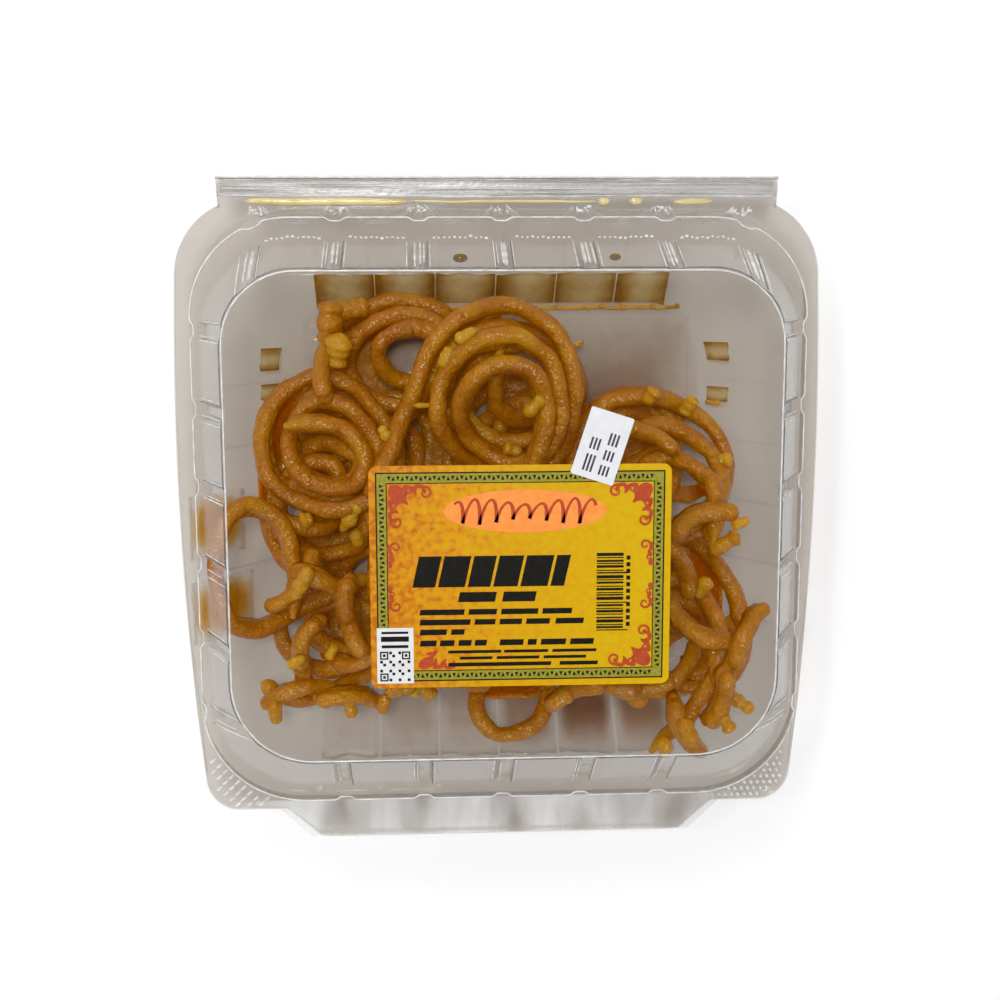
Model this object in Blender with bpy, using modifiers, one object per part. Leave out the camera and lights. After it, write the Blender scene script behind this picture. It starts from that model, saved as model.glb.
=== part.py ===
"""A closed, clear hinged box of jalebi, with a label and a date sticker on its lid.

Frame: metres, +Z up, +X to the right, +Y towards the hinge. The origin is under the middle of the
box, on the surface that it stands on. The lid turns about a line along X behind the hinge edge.
"""

import math

import bmesh
import bpy
import numpy as np

# ---------------------------------------------------------------- driving sizes, in metres
SHEET = 0.0005  # thickness of the clear plastic
CLEARANCE = 0.0003  # between pieces that rest on each other

FLANGE_HALF_X = 0.1145  # half the width of the rim, at its widest
FLANGE_WIDEST_Y = 0.030  # where along Y it is widest
FLANGE_TAPER = 0.4  # how fast the rim narrows away from there, per metre
FLANGE_HINGE_Y = 0.1120  # the rim's edge at its hinge corners
BAR_Y = 0.1190  # the hinge bar's straight outer edge
BAR_HALF_X = 0.0980
TAB_Y = -0.1090  # the front edge of the two corner tabs
LIP_DEPTH = 0.0110  # how far the front lip stands out between the tabs
LIP_HALF_X = 0.0840
LIP_RAMP = 0.0120

RIM_Z = 0.0390  # top of the base's rim
LID_TOP = 0.0760  # outside of the lid's top panel
LEDGE_Z = 0.0530  # the step round the lid's wall
FLUTE_FOOT = 0.0030  # how far above the floor the base's flutes end

LID_GROOVE_PITCH = 0.0283  # grooves down the lid's hinge wall and front wall
LID_SIDE_GROOVE_PITCH = 0.0270
LID_SIDE_GROOVE_START = -0.0138  # Y of the groove nearest the middle of a side
LID_GROOVE_WIDTH = 0.0075
BASE_GROOVE_PITCH = 0.0223
BASE_GROOVE_WIDTH = 0.0052
GROOVE_DEPTH = 0.0020
RAMP = 0.0014  # width of a groove's sloping side

STRAND = 0.0062  # thickness of a piped strand of batter
STRAND_SPACING = 0.0068  # least distance between the middles of two strands
CLIMB = 0.6  # steepest rise of a strand over the one below
SAG = 0.0011  # how far a ring's straight pieces cut inside its curve
SHARPEST_STEP = math.radians(40)
TAIL_STEP = 0.0100
SAMPLE = 0.0015  # spacing at which strands are tested against each other

LABEL_SIZE = (0.1016, 0.0762)
LABEL_CENTRE = (0.0050, -0.0148)
LABEL_CORNER = 0.0028
LABEL_SHEET = 0.0002
STICKER_SIZE = (0.0150, 0.0235)
STICKER_CENTRE = (0.0322, 0.0294)
STICKER_TURN = math.radians(-18)

# Each jalebi: name, middle of its outer ring, outer radius, gap between rings, turns, start angle
# in degrees, way round, drift of the middle per turn, stretch along Y, length of its straight lead,
# length of its loose end and how that bends, in degrees per step. They lie in this order, floor up.
JALEBIS = (
    ("jalebi_01", (-0.046, -0.034), 0.0280, 0.0076, 2.0, 40, -1, (0.002, 0.002), 0.95, 0, 0.020, 14),
    ("jalebi_02", (0.013, -0.043), 0.0270, 0.0076, 1.9, 200, 1, (0.001, 0.002), 0.90, 0, 0.020, 14),
    ("jalebi_03", (0.052, -0.036), 0.0250, 0.0076, 2.1, 60, 1, (-0.002, 0.002), 1.00, 0, 0.020, 14),
    ("jalebi_04", (-0.048, 0.020), 0.0280, 0.0076, 2.3, 150, 1, (0.002, -0.002), 0.95, 0, 0.020, 14),
    ("jalebi_05", (0.006, 0.018), 0.0280, 0.0076, 2.3, 300, -1, (0.002, 0.001), 1.00, 0, 0.020, 14),
    ("jalebi_06", (0.050, 0.018), 0.0250, 0.0076, 2.1, 250, 1, (-0.002, 0.002), 0.95, 0, 0.020, 14),
    ("jalebi_07", (-0.038, 0.054), 0.0275, 0.0084, 2.2, 150, -1, (0.003, 0.002), 0.80, 0, 0.020, 14),
    ("jalebi_08", (-0.066, -0.050), 0.0265, 0.0080, 2.1, 215, 1, (0.004, 0.002), 0.86, 0, 0.020, 14),
    ("jalebi_09", (0.062, -0.051), 0.0260, 0.0076, 2.3, 20, -1, (0.002, -0.002), 0.95, 0, 0.020, 10),
    ("jalebi_10", (-0.020, -0.044), 0.0260, 0.0080, 1.7, 60, 1, (0.002, 0.003), 0.90, 0, 0.020, 14),
    ("jalebi_11", (0.026, -0.018), 0.0300, 0.0080, 1.8, 100, 1, (0.003, -0.003), 0.95, 0, 0.024, 14),
    ("jalebi_12", (-0.062, -0.002), 0.0260, 0.0080, 2.1, 300, -1, (-0.003, 0.003), 1.05, 0, 0.020, 14),
    ("jalebi_13", (0.004, 0.043), 0.0265, 0.0080, 1.9, 165, -1, (0.003, 0.001), 1.00, 0.030, 0.020, 14),
    ("jalebi_14", (0.004, -0.071), 0.0130, 0.0010, 0.6, 165, 1, (0.002, 0.000), 1.10, 0.030, 0.040, 3),
    ("jalebi_15", (-0.022, -0.026), 0.0280, 0.0080, 1.7, 10, 1, (0.002, 0.002), 1.05, 0, 0.024, 14),
    ("jalebi_16", (-0.089, -0.019), 0.0140, 0.0020, 0.92, 310, -1, (0.002, 0.000), 1.85, 0.032, 0.014, -6),
    ("jalebi_17", (0.068, -0.040), 0.0255, 0.0085, 1.42, 110, -1, (-0.001, -0.004), 1.10, 0, 0.040, 3),
    ("jalebi_18", (0.057, 0.015), 0.0290, 0.0076, 2.5, 190, -1, (0.003, -0.003), 1.05, 0, 0.022, 14),
    ("jalebi_19", (-0.064, 0.022), 0.0280, 0.0080, 2.3, 330, 1, (0.002, 0.000), 1.00, 0, 0.022, 14),
    ("jalebi_20", (0.001, 0.042), 0.0325, 0.0074, 2.5, 174, -1, (0.001, -0.002), 1.00, 0.036, 0.020, 14),
)

PLASTIC = ("clear_plastic", (0.80, 0.81, 0.80, 0.30), 0.10)
LABEL_PRINT = ("label_print", (0.90, 0.62, 0.02, 1.0), 0.40)
STICKER_PAPER = ("sticker_paper", (0.86, 0.87, 0.86, 1.0), 0.55)
SYRUPED_BATTER = ("jalebi", (0.58, 0.27, 0.01, 1.0), 0.25)


# ---------------------------------------------------------------- outlines of the box
class Outline:
    """A rectangle with round corners, seen from above."""

    def __init__(self, half_x, front_y, hinge_y, front_radius, hinge_radius):
        self.half_x = half_x
        self.front_y = front_y
        self.hinge_y = hinge_y
        self.front_radius = front_radius
        self.hinge_radius = hinge_radius

    def corner(self, quarter):
        """Middle and radius of a corner. Quarter 0 is at +X +Y, then they go anticlockwise."""
        sign_x = 1 if quarter in (0, 3) else -1
        hinge_side = quarter < 2
        radius = self.hinge_radius if hinge_side else self.front_radius
        middle_y = self.hinge_y - radius if hinge_side else self.front_y + radius
        return sign_x * (self.half_x - radius), middle_y, radius

    def at(self, side, place):
        """(x, y, normal angle) on a side at this X or Y, also where that lies on a corner's arc."""
        quarters = {"hinge": (0, 1), "left": (2, 1), "front": (3, 2), "right": (3, 0)}[side]
        middles = [self.corner(q) for q in quarters]
        along = [m[0] if side in ("hinge", "front") else m[1] for m in middles]
        outward = {"right": 0.0, "hinge": 90.0, "left": 180.0, "front": 270.0}[side]
        if min(along) <= place <= max(along):
            flat = {
                "hinge": (place, self.hinge_y),
                "front": (place, self.front_y),
                "left": (-self.half_x, place),
                "right": (self.half_x, place),
            }[side]
            return (*flat, math.radians(outward))
        which = int(np.argmin([abs(a - place) for a in along]))
        x, y, radius = middles[which]
        lean = math.asin(max(-1.0, min(1.0, (place - along[which]) / radius)))
        if side in ("hinge", "left"):
            lean = -lean
        angle = math.radians(outward) + lean
        return x + radius * math.cos(angle), y + radius * math.sin(angle), angle


def plain(outline, points):
    """The outline's points as they are."""
    return points


def rim(outline, points):
    """Points with the rim's bowed sides, its front lip and its hinge bar added."""
    shaped = []
    for x, y in points:
        if y < outline.front_y + 0.001:
            y -= LIP_DEPTH * min(1.0, max(0.0, (LIP_HALF_X - abs(x)) / LIP_RAMP))
        if y > outline.hinge_y - 0.004 and abs(x) < BAR_HALF_X:
            y = BAR_Y
        else:
            x *= 1 - FLANGE_TAPER * (y - FLANGE_WIDEST_Y) ** 2 / outline.half_x
        shaped.append((x, y))
    return shaped


SIDES = ("right", "hinge", "left", "front")
CORNER_STEPS = 3


def side_stations(side, grooves, width, beyond=()):
    """(place, share of the groove's depth, share beyond) along a side, going anticlockwise.

    The last value moves a place on from the outermost groove, as a share of what is left of the
    side there.
    """
    stations = []
    for middle in grooves:
        stations += [
            (middle - width / 2, 0.0, 0.0),
            (middle - width / 2 + RAMP, 1.0, 0.0),
            (middle + width / 2 - RAMP, 1.0, 0.0),
            (middle + width / 2, 0.0, 0.0),
        ]
    last = max(grooves) + width / 2
    for share in beyond:
        stations += [(-last - share * 1e-6, 0.0, share), (last + share * 1e-6, 0.0, share)]
    return sorted(stations, reverse=side in ("hinge", "left"))


def ring(outline, z, depth, stations, shaped=plain):
    """The outline's points at this height, with its grooves cut in by depth."""
    placed = []
    for side in SIDES:
        on_side = []
        for place, share, beyond in stations[side]:
            place += math.copysign(beyond * (outline.half_x - abs(place)), place)
            on_side.append((*outline.at(side, place), share))
        placed.append(on_side)
    points = []
    for i, on_side in enumerate(placed):
        for x, y, angle, share in on_side:
            cut = depth * share
            points.append((x - cut * math.cos(angle), y - cut * math.sin(angle)))
        start = on_side[-1][2]
        end = placed[(i + 1) % 4][0][2]
        end += math.tau * math.ceil((start - end) / math.tau)
        x, y, radius = outline.corner(i)
        for step in range(CORNER_STEPS):
            angle = start + (end - start) * (step + 0.5) / CORNER_STEPS
            points.append((x + radius * math.cos(angle), y + radius * math.sin(angle)))
    return [(x, y, z) for x, y in shaped(outline, points)]


def shell(name, rings, inwards, paint, collection):
    """A thin-walled shell: a loft through the rings, closed by a panel at the last one."""
    mesh = bmesh.new()
    loops = [[mesh.verts.new(p) for p in points] for points in rings]
    for outer, inner in zip(loops, loops[1:]):
        for i in range(len(outer)):
            j = (i + 1) % len(outer)
            mesh.faces.new((outer[i], outer[j], inner[j], inner[i]))
    mesh.faces.new(loops[-1])
    bmesh.ops.recalc_face_normals(mesh, faces=mesh.faces)
    obj = mesh_object(name, mesh, paint, collection)
    thickness = obj.modifiers.new("Sheet", "SOLIDIFY")
    thickness.thickness = SHEET
    thickness.offset = inwards
    thickness.use_even_offset = True
    return obj


# ---------------------------------------------------------------- objects and materials
def material(name, colour, roughness):
    made = bpy.data.materials.get(name) or bpy.data.materials.new(name)
    made.use_nodes = True
    shader = made.node_tree.nodes["Principled BSDF"]
    shader.inputs["Base Color"].default_value = (*colour[:3], 1.0)
    shader.inputs["Roughness"].default_value = roughness
    shader.inputs["Alpha"].default_value = colour[3]
    made.diffuse_color = colour
    return made


def mesh_object(name, mesh, paint, collection):
    data = bpy.data.meshes.new(name)
    mesh.to_mesh(data)
    mesh.free()
    data.materials.append(material(*paint))
    obj = bpy.data.objects.new(name, data)
    collection.objects.link(obj)
    return obj


def cleared_scene():
    for obj in list(bpy.data.objects):
        bpy.data.objects.remove(obj)
    collection = bpy.data.collections.new("box_of_jalebi")
    bpy.context.scene.collection.children.link(collection)
    return collection


# ---------------------------------------------------------------- base and lid
FLANGE = Outline(FLANGE_HALF_X, TAB_Y, FLANGE_HINGE_Y, 0.011, 0.026)


def base(collection):
    """The tub: floor, grooved walls that lean outwards, and the rim with its two front tabs."""
    across = [BASE_GROOVE_PITCH * k for k in (-3, -2, -1, 0, 1, 2, 3)]
    along = [BASE_GROOVE_PITCH * k + 0.003 for k in (-2, -1, 0, 1, 2)]
    stations = {
        "hinge": side_stations("hinge", across, BASE_GROOVE_WIDTH, (0.55, 0.66)),
        "front": side_stations("front", across, BASE_GROOVE_WIDTH, (0.06, 0.32)),
        "left": side_stations("left", along, BASE_GROOVE_WIDTH),
        "right": side_stations("right", along, BASE_GROOVE_WIDTH),
    }
    top = RIM_Z - SHEET
    rings = [
        ring(FLANGE, top, 0.0, stations, rim),
        ring(Outline(0.1070, -0.1030, 0.1075, 0.036, 0.034), top, 0.0, stations),
        ring(Outline(0.1035, -0.0960, 0.1020, 0.035, 0.033), top - 0.006, GROOVE_DEPTH, stations),
        ring(Outline(0.0815, -0.0690, 0.0750, 0.027, 0.025), FLUTE_FOOT, GROOVE_DEPTH, stations),
        ring(Outline(0.0790, -0.0665, 0.0725, 0.025, 0.023), 0.0, 0.0, stations),
    ]
    return shell("base", rings, 1, PLASTIC, collection)


def lid(collection):
    """The lid: rim with tabs, a low wall, a ledge, a grooved upper wall and a flat top panel."""
    hinge = [LID_GROOVE_PITCH * k for k in (-3, -2, -1, 0, 1, 2, 3)]
    front = [LID_GROOVE_PITCH * k for k in (-2, -1, 0, 1, 2)]
    side = [LID_SIDE_GROOVE_START + LID_SIDE_GROOVE_PITCH * k for k in (-2, -1, 0, 1, 2, 3)]
    stations = {
        "hinge": side_stations("hinge", hinge, LID_GROOVE_WIDTH, (0.32, 0.41)),
        "front": side_stations("front", front, LID_GROOVE_WIDTH, (0.22, 0.44)),
        "left": side_stations("left", side, LID_GROOVE_WIDTH),
        "right": side_stations("right", side, LID_GROOVE_WIDTH),
    }
    bottom = RIM_Z + CLEARANCE + SHEET
    foot = LID_TOP - 0.0012
    rings = [
        ring(FLANGE, bottom, 0.0, stations, rim),
        ring(Outline(0.1085, -0.1045, 0.1085, 0.037, 0.035), bottom, 0.0, stations),
        ring(Outline(0.1065, -0.1015, 0.1050, 0.036, 0.034), LEDGE_Z - 0.001, 0.0012, stations),
        ring(Outline(0.1040, -0.0960, 0.0975, 0.034, 0.032), LEDGE_Z, GROOVE_DEPTH, stations),
        ring(Outline(0.0940, -0.0795, 0.0882, 0.028, 0.025), foot, GROOVE_DEPTH / 2, stations),
        ring(Outline(0.0926, -0.0783, 0.0868, 0.027, 0.024), LID_TOP, 0.0, stations),
    ]
    return shell("lid", rings, -1, PLASTIC, collection)


# ---------------------------------------------------------------- label and sticker
def rounded_card(name, size, centre, turn, corner, bottom, paint, collection):
    """A flat card with round corners, as a 2D curve with thickness."""
    curve = bpy.data.curves.new(name, "CURVE")
    curve.dimensions = "2D"
    curve.fill_mode = "BOTH"
    curve.extrude = LABEL_SHEET / 2
    spline = curve.splines.new("POLY")
    steps = 4
    points = []
    for quarter, (sx, sy) in enumerate(((1, 1), (-1, 1), (-1, -1), (1, -1))):
        for step in range(steps):
            angle = math.radians(90) * (quarter + step / (steps - 1))
            x = sx * (size[0] / 2 - corner) + corner * math.cos(angle)
            y = sy * (size[1] / 2 - corner) + corner * math.sin(angle)
            points.append((x, y, 0.0, 1.0))
    spline.points.add(len(points) - 1)
    for point, co in zip(spline.points, points):
        point.co = co
    spline.use_cyclic_u = True
    curve.materials.append(material(*paint))
    obj = bpy.data.objects.new(name, curve)
    obj.location = (*centre, bottom + LABEL_SHEET / 2)
    obj.rotation_euler.z = turn
    collection.objects.link(obj)
    return obj


# ---------------------------------------------------------------- jalebi
def piped_route(centre, radius, gap, turns, start, way, drift, stretch, lead, tail, bend):
    """The plan of one piped coil: a straight lead, rings that wind inwards, then a loose end."""
    route = []
    turned = 0.0
    while len(route) == 0 or turned < turns:
        if route:
            step = min(SHARPEST_STEP, math.sqrt(8 * SAG / (radius - gap * turned)))
            turned = min(turns, turned + step / math.tau)
        angle = math.radians(start) + way * math.tau * turned
        wobble = 1 + 0.07 * math.sin(2 * angle + start) + 0.04 * math.sin(3 * angle + start)
        reach = (radius - gap * turned) * wobble
        x = centre[0] + drift[0] * turned + reach * math.cos(angle)
        y = centre[1] + drift[1] * turned + reach * math.sin(angle) * stretch
        route.append((x, y))
    (ax, ay), (bx, by) = route[:2]
    heading = math.atan2(ay - by, ax - bx)
    for _ in range(round(lead / TAIL_STEP)):
        x, y = route[0]
        route.insert(0, (x + TAIL_STEP * math.cos(heading), y + TAIL_STEP * math.sin(heading)))
    (ax, ay), (bx, by) = route[-2:]
    heading = math.atan2(by - ay, bx - ax)
    for _ in range(round(tail / TAIL_STEP)):
        heading += way * math.radians(bend)
        x, y = route[-1]
        route.append((x + TAIL_STEP * math.cos(heading), y + TAIL_STEP * math.sin(heading)))
    return np.array(route)


def beyond_floor(points):
    """How far outside the floor's outline each point lies, negative inside it."""
    radius = 0.022
    middle = np.array([0.0, 0.0030])
    half = np.array([0.0790, 0.0695]) - radius
    past = np.abs(points - middle) - half
    outside = np.linalg.norm(np.maximum(past, 0.0), axis=1)
    return outside + np.minimum(past.max(axis=1), 0.0) - radius


def tub_height(points):
    """Least height of a strand's middle over the tub's floor and its leaning walls."""
    rise, run = RIM_Z - SHEET, 0.0270
    steep = math.hypot(rise, run) / run
    over_floor = SHEET + STRAND / 2 + CLEARANCE
    past = beyond_floor(points)
    return np.maximum(over_floor, past * rise / run + (STRAND / 2 + 0.0015) * steep)


def sampled(route, heights):
    """Points along the straight pieces of a strand, with the piece that each lies on."""
    plan, z, piece = [], [], []
    for k in range(len(route) - 1):
        count = max(2, math.ceil(np.linalg.norm(route[k + 1] - route[k]) / SAMPLE))
        share = np.linspace(0, 1, count, endpoint=False)[:, None]
        plan.append(route[k] * (1 - share) + route[k + 1] * share)
        z.append(heights[k] * (1 - share[:, 0]) + heights[k + 1] * share[:, 0])
        piece.append(np.full(count, k))
    return np.concatenate(plan), np.concatenate(z), np.concatenate(piece)


def height_over(plan, below_plan, below_z):
    """The height at which a strand at each plan point just clears all the points below it."""
    if not len(below_plan):
        return np.full(len(plan), -1.0)
    apart = ((plan[:, None, :] - below_plan[None, :, :]) ** 2).sum(axis=2)
    over = STRAND_SPACING**2 - apart
    lifted = np.where(over > 0, below_z[None, :] + np.sqrt(np.maximum(over, 0)), -1.0)
    return lifted.max(axis=1)


def laid_down(route, below_plan, below_z):
    """Heights of a strand laid over what is there: the tub, earlier coils and its own rings."""
    steps = np.linalg.norm(np.diff(route, axis=0), axis=1)
    along = np.concatenate([[0.0], np.cumsum(steps)])
    slack = CLIMB * np.abs(along[:, None] - along[None, :])
    heights = tub_height(route)
    plan, _, piece = sampled(route, heights)
    fixed = np.maximum(tub_height(plan), height_over(plan, below_plan, below_z))
    for _ in range(10):
        _, z, _ = sampled(route, heights)
        needed = fixed.copy()
        for k in range(len(route) - 1):
            own = along[piece + 1] < along[k] - 1.5 * STRAND_SPACING
            here = piece == k
            needed[here] = np.maximum(needed[here], height_over(plan[here], plan[own], z[own]))
        for k in range(len(route) - 1):
            most = needed[piece == k].max()
            heights[k] = max(heights[k], most)
            heights[k + 1] = max(heights[k + 1], most)
        heights = (heights[None, :] - slack).max(axis=1)
    return heights


def strand(name, route, heights, collection):
    """One jalebi as a round strand of batter along its route."""
    curve = bpy.data.curves.new(name, "CURVE")
    curve.dimensions = "3D"
    curve.bevel_depth = STRAND / 2
    curve.bevel_resolution = 1
    curve.use_fill_caps = True
    spline = curve.splines.new("POLY")
    spline.points.add(len(route) - 1)
    for point, (x, y), z in zip(spline.points, route, heights):
        point.co = (x, y, z, 1.0)
    curve.materials.append(material(*SYRUPED_BATTER))
    obj = bpy.data.objects.new(name, curve)
    collection.objects.link(obj)
    return obj


def jalebis(collection):
    """All the coils, each laid on the ones before it."""
    below_plan, below_z = np.empty((0, 2)), np.empty(0)
    for name, *shape in JALEBIS:
        route = piped_route(*shape)
        heights = laid_down(route, below_plan, below_z)
        plan, z, _ = sampled(route, heights)
        below_plan = np.concatenate([below_plan, plan])
        below_z = np.concatenate([below_z, z])
        strand(name, route, heights, collection)
        print(f"{name}: from {heights.min() * 1000:.1f} to {heights.max() * 1000:.1f} mm")


def main():
    collection = cleared_scene()
    base(collection)
    lid(collection)
    jalebis(collection)
    label_bottom = LID_TOP + CLEARANCE
    rounded_card(
        "label", LABEL_SIZE, LABEL_CENTRE, 0.0, LABEL_CORNER, label_bottom, LABEL_PRINT, collection
    )
    sticker_bottom = label_bottom + LABEL_SHEET + CLEARANCE
    rounded_card(
        "date_sticker", STICKER_SIZE, STICKER_CENTRE, STICKER_TURN, 0.0004, sticker_bottom,
        STICKER_PAPER, collection,
    )


main()
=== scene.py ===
"""Looks of a clear hinged box of jalebi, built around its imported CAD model.

Metres, +Z up, +Y towards the hinge. The lid and the base are thin clear sheets, the jalebis are
piped strands that follow the CAD coils, and the label carries only bars and plain ornament.
"""

import math

import bmesh
import bpy
import numpy as np
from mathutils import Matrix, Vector, noise


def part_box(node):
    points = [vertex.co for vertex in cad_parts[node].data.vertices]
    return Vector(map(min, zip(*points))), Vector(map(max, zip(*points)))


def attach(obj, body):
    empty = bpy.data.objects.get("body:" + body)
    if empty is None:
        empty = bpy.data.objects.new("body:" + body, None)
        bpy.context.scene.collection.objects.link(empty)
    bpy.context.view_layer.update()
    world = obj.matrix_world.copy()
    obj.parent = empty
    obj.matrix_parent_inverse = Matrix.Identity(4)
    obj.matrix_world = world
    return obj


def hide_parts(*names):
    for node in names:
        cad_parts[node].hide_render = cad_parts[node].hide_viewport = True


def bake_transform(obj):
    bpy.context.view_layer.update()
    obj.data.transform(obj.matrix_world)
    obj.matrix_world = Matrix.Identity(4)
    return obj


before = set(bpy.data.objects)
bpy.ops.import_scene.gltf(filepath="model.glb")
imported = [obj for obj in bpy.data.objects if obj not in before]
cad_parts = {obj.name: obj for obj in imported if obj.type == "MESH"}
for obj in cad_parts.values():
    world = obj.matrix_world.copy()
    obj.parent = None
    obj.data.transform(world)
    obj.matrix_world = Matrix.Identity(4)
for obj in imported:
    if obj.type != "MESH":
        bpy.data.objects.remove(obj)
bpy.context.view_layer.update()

# ---------------------------------------------------------------- sizes, in metres
SHEET = 0.0005
RIM_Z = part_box("base")[1].z
LID_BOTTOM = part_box("lid")[0].z
LID_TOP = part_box("lid")[1].z
LEDGE_Z = 0.0530
FLUTE_FOOT = 0.0030
BAR_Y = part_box("base")[1].y
BAR_HALF_X = 0.0980
FLANGE_HALF_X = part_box("base")[1].x
FLANGE_WIDEST_Y = 0.030
FLANGE_TAPER = 0.4
FLANGE_HINGE_Y = 0.1120
TAB_Y = -0.1090
LIP_DEPTH = TAB_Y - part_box("base")[0].y
LIP_HALF_X = 0.0840
LIP_RAMP = 0.0120
LID_GROOVE_PITCH = 0.0283
LID_SIDE_GROOVE_PITCH = 0.0270
LID_SIDE_GROOVE_START = -0.0138
LID_GROOVE_WIDTH = 0.0075
BASE_GROOVE_PITCH = 0.0223
BASE_GROOVE_WIDTH = 0.0052
GROOVE_DEPTH = 0.0020

STRAND = 0.0062
STRAND_SPACING = 0.0068
CLIMB = 0.6
SAG = 0.0011
SHARPEST_STEP = math.radians(40)
TAIL_STEP = 0.0100
SAMPLE = 0.0015
# The vector noise would start from the clock if it weren't seeded.
NOISE_SEED = 7

# Name, then centre, first radius, gap between windings, windings, start in degrees, way round,
# drift per winding, stretch in y, lead, tail and its bend in degrees per step.
JALEBIS = (
    ("jalebi_01", (-0.046, -0.034), 0.0280, 0.0076, 2.0, 40, -1, (0.002, 0.002), 0.95, 0, 0.020, 14),
    ("jalebi_02", (0.013, -0.043), 0.0270, 0.0076, 1.9, 200, 1, (0.001, 0.002), 0.90, 0, 0.020, 14),
    ("jalebi_03", (0.052, -0.036), 0.0250, 0.0076, 2.1, 60, 1, (-0.002, 0.002), 1.00, 0, 0.020, 14),
    ("jalebi_04", (-0.048, 0.020), 0.0280, 0.0076, 2.3, 150, 1, (0.002, -0.002), 0.95, 0, 0.020, 14),
    ("jalebi_05", (0.006, 0.018), 0.0280, 0.0076, 2.3, 300, -1, (0.002, 0.001), 1.00, 0, 0.020, 14),
    ("jalebi_06", (0.050, 0.018), 0.0250, 0.0076, 2.1, 250, 1, (-0.002, 0.002), 0.95, 0, 0.020, 14),
    ("jalebi_07", (-0.038, 0.054), 0.0275, 0.0084, 2.2, 150, -1, (0.003, 0.002), 0.80, 0, 0.020, 14),
    ("jalebi_08", (-0.066, -0.050), 0.0265, 0.0080, 2.1, 215, 1, (0.004, 0.002), 0.86, 0, 0.020, 14),
    ("jalebi_09", (0.062, -0.051), 0.0260, 0.0076, 2.3, 20, -1, (0.002, -0.002), 0.95, 0, 0.020, 10),
    ("jalebi_10", (-0.020, -0.044), 0.0260, 0.0080, 1.7, 60, 1, (0.002, 0.003), 0.90, 0, 0.020, 14),
    ("jalebi_11", (0.026, -0.018), 0.0300, 0.0080, 1.8, 100, 1, (0.003, -0.003), 0.95, 0, 0.024, 14),
    ("jalebi_12", (-0.062, -0.002), 0.0260, 0.0080, 2.1, 300, -1, (-0.003, 0.003), 1.05, 0, 0.020, 14),
    ("jalebi_13", (0.004, 0.043), 0.0265, 0.0080, 1.9, 165, -1, (0.003, 0.001), 1.00, 0.030, 0.020, 14),
    ("jalebi_14", (0.004, -0.071), 0.0130, 0.0010, 0.6, 165, 1, (0.002, 0.000), 1.10, 0.030, 0.040, 3),
    ("jalebi_15", (-0.022, -0.026), 0.0280, 0.0080, 1.7, 10, 1, (0.002, 0.002), 1.05, 0, 0.024, 14),
    ("jalebi_16", (-0.089, -0.019), 0.0140, 0.0020, 0.92, 310, -1, (0.002, 0.000), 1.85, 0.032, 0.014, -6),
    ("jalebi_17", (0.068, -0.040), 0.0255, 0.0085, 1.42, 110, -1, (-0.001, -0.004), 1.10, 0, 0.040, 3),
    ("jalebi_18", (0.057, 0.015), 0.0290, 0.0076, 2.5, 190, -1, (0.003, -0.003), 1.05, 0, 0.022, 14),
    ("jalebi_19", (-0.064, 0.022), 0.0280, 0.0080, 2.3, 330, 1, (0.002, 0.000), 1.00, 0, 0.022, 14),
    ("jalebi_20", (0.001, 0.042), 0.0325, 0.0074, 2.5, 174, -1, (0.001, -0.002), 1.00, 0.036, 0.020, 14),
)


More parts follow.
